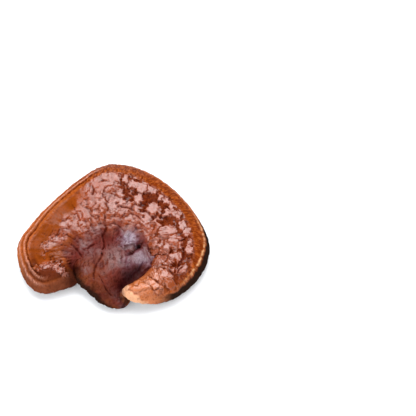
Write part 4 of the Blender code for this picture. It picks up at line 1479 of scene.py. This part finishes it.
class SkinSettings(bpy.types.PropertyGroup):
    """Relief and colours of the skin."""

    plate_size: bpy.props.FloatProperty(
        name="Plate size", description="Width of the common plates, in mm", default=5.0, min=0.5)
    chip_size: bpy.props.FloatProperty(
        name="Chip size", description="Width of the chips that form plates, in mm", default=1.35, min=0.5)
    plate_tilt: bpy.props.FloatProperty(
        name="Plate tilt", description="Steepest slope of a common plate", default=0.07, min=0.0)
    facet_size: bpy.props.FloatProperty(
        name="Facet size", description="Width of the middle's facets, in mm", default=3.6, min=0.5)
    facet_tilt: bpy.props.FloatProperty(
        name="Facet tilt", description="Steepest slope of a facet", default=0.08, min=0.0)
    plate_height: bpy.props.FloatProperty(
        name="Plate height", description="Share of the plates' full relief", default=1.0, min=0.0)
    facet_height: bpy.props.FloatProperty(
        name="Facet height", description="Share of the facets' full relief", default=1.0, min=0.0)
    groove_depth: bpy.props.FloatProperty(
        name="Groove depth", description="Depth of the grooves between cells, in mm", default=0.2, min=0.0)
    line_depth: bpy.props.FloatProperty(
        name="Line depth", description="Depth of the thin cracks, in mm", default=0.16, min=0.0)
    fine_height: bpy.props.FloatProperty(
        name="Fine height", description="Height of the fine unevenness, in mm", default=0.13, min=0.0)
    wrinkle_height: bpy.props.FloatProperty(
        name="Wrinkle height", description="Height of the radial wrinkles, in mm", default=0.14, min=0.0)
    ring_height: bpy.props.FloatProperty(
        name="Ring height", description="Height of the rings near the rim, in mm", default=0.4, min=0.0)
    bark_height: bpy.props.FloatProperty(
        name="Bark height", description="Height of the stem's unevenness, in mm", default=0.9, min=0.0)
    rim_waves: bpy.props.FloatProperty(
        name="Rim waves", description="Unevenness of the outline, in mm", default=1.4, min=0.0)
    grain_height: bpy.props.FloatProperty(
        name="Grain height", description="Height of the fine grain all over, in mm", default=0.06, min=0.0)
    seed: bpy.props.FloatProperty(name="Seed", description="Shifts every random pattern", default=3.0)
    inner_colour: bpy.props.FloatVectorProperty(
        name="Inner colour", description="Red-brown of the cap's middle", subtype="COLOR", size=3,
        default=(0.22, 0.038, 0.008))
    outer_colour: bpy.props.FloatVectorProperty(
        name="Outer colour", description="Orange of the outer band", subtype="COLOR", size=3,
        default=(0.29, 0.054, 0.006))
    dish_colour: bpy.props.FloatVectorProperty(
        name="Dish colour", description="Deeper orange of the hollow on the left", subtype="COLOR", size=3,
        default=(0.2, 0.038, 0.004))
    hub_colour: bpy.props.FloatVectorProperty(
        name="Hub colour", description="Dark purple-brown beside the stem", subtype="COLOR", size=3,
        default=(0.1, 0.0135, 0.009))
    margin_colour: bpy.props.FloatVectorProperty(
        name="Margin colour", description="Paler growing edge", subtype="COLOR", size=3,
        default=(0.42, 0.125, 0.03))
    # Painted highlight on the rings' crests
    crest_highlight_colour: bpy.props.FloatVectorProperty(
        name="Crest colour", description="Pinkish crests of the rings near the rim", subtype="COLOR", size=3,
        default=(0.46, 0.17, 0.095))
    lip_colour: bpy.props.FloatVectorProperty(
        name="Lip colour", description="Pale tan of the beaded lip", subtype="COLOR", size=3,
        default=(0.62, 0.3, 0.12))
    young_colour: bpy.props.FloatVectorProperty(
        name="Young colour", description="Lighter orange towards the growing tip", subtype="COLOR", size=3,
        default=(0.46, 0.13, 0.036))
    tip_colour: bpy.props.FloatVectorProperty(
        name="Tip colour", description="Cream of the growing tip", subtype="COLOR", size=3,
        default=(0.66, 0.33, 0.18))
    stem_colour: bpy.props.FloatVectorProperty(
        name="Stem colour", description="Brown of the stem's skin", subtype="COLOR", size=3,
        default=(0.155, 0.033, 0.009))
    # Painted lavender sheen beside the stem
    painted_sheen_colour: bpy.props.FloatVectorProperty(
        name="Bloom colour", description="Lavender bloom beside the stem", subtype="COLOR", size=3,
        default=(0.14, 0.08, 0.12))
    pore_colour: bpy.props.FloatVectorProperty(
        name="Pore colour", description="Tan of the pore surface", subtype="COLOR", size=3,
        default=(0.3, 0.16, 0.075))


class StageSettings(bpy.types.PropertyGroup):
    """Table, lights and camera."""

    table_colour: bpy.props.FloatVectorProperty(
        name="Table colour", description="Pale table top", subtype="COLOR", size=3, default=(0.9, 0.9, 0.9))
    softbox_brightness: bpy.props.FloatProperty(
        name="Softbox", description="Brightness of the softbox behind and above", default=2.0, min=0.0)
    core_brightness: bpy.props.FloatProperty(
        name="Softbox core", description="Brightness added in the softbox's middle", default=4.2, min=0.0)
    room_brightness: bpy.props.FloatProperty(
        name="Room", description="Brightness of the light all round", default=0.15, min=0.0)
    fill_brightness: bpy.props.FloatProperty(
        name="Fill", description="Brightness of the large panel on the camera's side", default=2.2, min=0.0)
    side_brightness: bpy.props.FloatProperty(
        name="Side", description="Brightness of the narrow panel on the left", default=0.9, min=0.0)
    right_brightness: bpy.props.FloatProperty(
        name="Right", description="Brightness of the panel on the right", default=2.5, min=0.0)
    camera_elevation: bpy.props.FloatProperty(
        name="Camera elevation", description="How steeply the camera looks down", subtype="ANGLE",
        unit="ROTATION", default=math.radians(62.0))
    camera_distance: bpy.props.FloatProperty(
        name="Camera distance", description="From the camera to the mushroom", subtype="DISTANCE",
        unit="LENGTH", default=0.54, min=0.1)


class REISHI_OT_cap(bpy.types.Operator):
    """Makes the cap's skin, from the hub to the rim and its pore surface underneath."""

    bl_idname = "reishi.cap"
    bl_label = "Cap"

    def execute(self, context):
        piece = parted("cap_skin", (CAP_TOP, CAP_UNDERSIDE), context)
        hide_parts("cap")
        return {"FINISHED"}


class REISHI_OT_stem(bpy.types.Operator):
    """Makes the stem's skin, from the hub to where it was cut off."""

    bl_idname = "reishi.stem"
    bl_label = "Stem"

    def execute(self, context):
        piece = parted("stem_skin", (STEM,), context)
        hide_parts("stem")
        return {"FINISHED"}


class REISHI_OT_stage(bpy.types.Operator):
    """Lays the pale table and sets the lights and the camera."""

    bl_idname = "reishi.stage"
    bl_label = "Stage"

    def execute(self, context):
        settings = context.scene.reishi_stage
        add_table(context, settings.table_colour)
        for name, azimuth, elevation, distance, size, brightness in LIGHTS:
            towards = direction(azimuth, elevation)
            add_softbox(context, name, towards, distance, size, getattr(settings, brightness))
        add_room(context, settings.room_brightness)
        context.scene.view_settings.view_transform = "Standard"
        add_camera(context, math.degrees(settings.camera_elevation), settings.camera_distance)
        return {"FINISHED"}


class REISHI_PT_panel(bpy.types.Panel):
    """Buttons and settings of the mushroom."""

    bl_label = "Reishi mushroom"
    bl_space_type = "VIEW_3D"
    bl_region_type = "UI"
    bl_category = "Reishi"

    def draw(self, context):
        for operator in OPERATORS:
            self.layout.operator(operator.bl_idname)
        for settings in (context.scene.reishi_skin, context.scene.reishi_stage):
            for name in settings.__annotations__:
                self.layout.prop(settings, name)


OPERATORS = (REISHI_OT_cap, REISHI_OT_stem, REISHI_OT_stage)
CLASSES = (SkinSettings, StageSettings, *OPERATORS, REISHI_PT_panel)


def register():
    for made in CLASSES:
        bpy.utils.register_class(made)
    bpy.types.Scene.reishi_skin = bpy.props.PointerProperty(type=SkinSettings)
    bpy.types.Scene.reishi_stage = bpy.props.PointerProperty(type=StageSettings)


def unregister():
    del bpy.types.Scene.reishi_stage
    del bpy.types.Scene.reishi_skin
    for made in reversed(CLASSES):
        bpy.utils.unregister_class(made)


def main():
    register()
    bpy.ops.reishi.cap()
    bpy.ops.reishi.stem()
    bpy.data.meshes.remove(bpy.data.meshes["whole skin"])
    bpy.ops.reishi.stage()


if __name__ == "__main__":
    main()
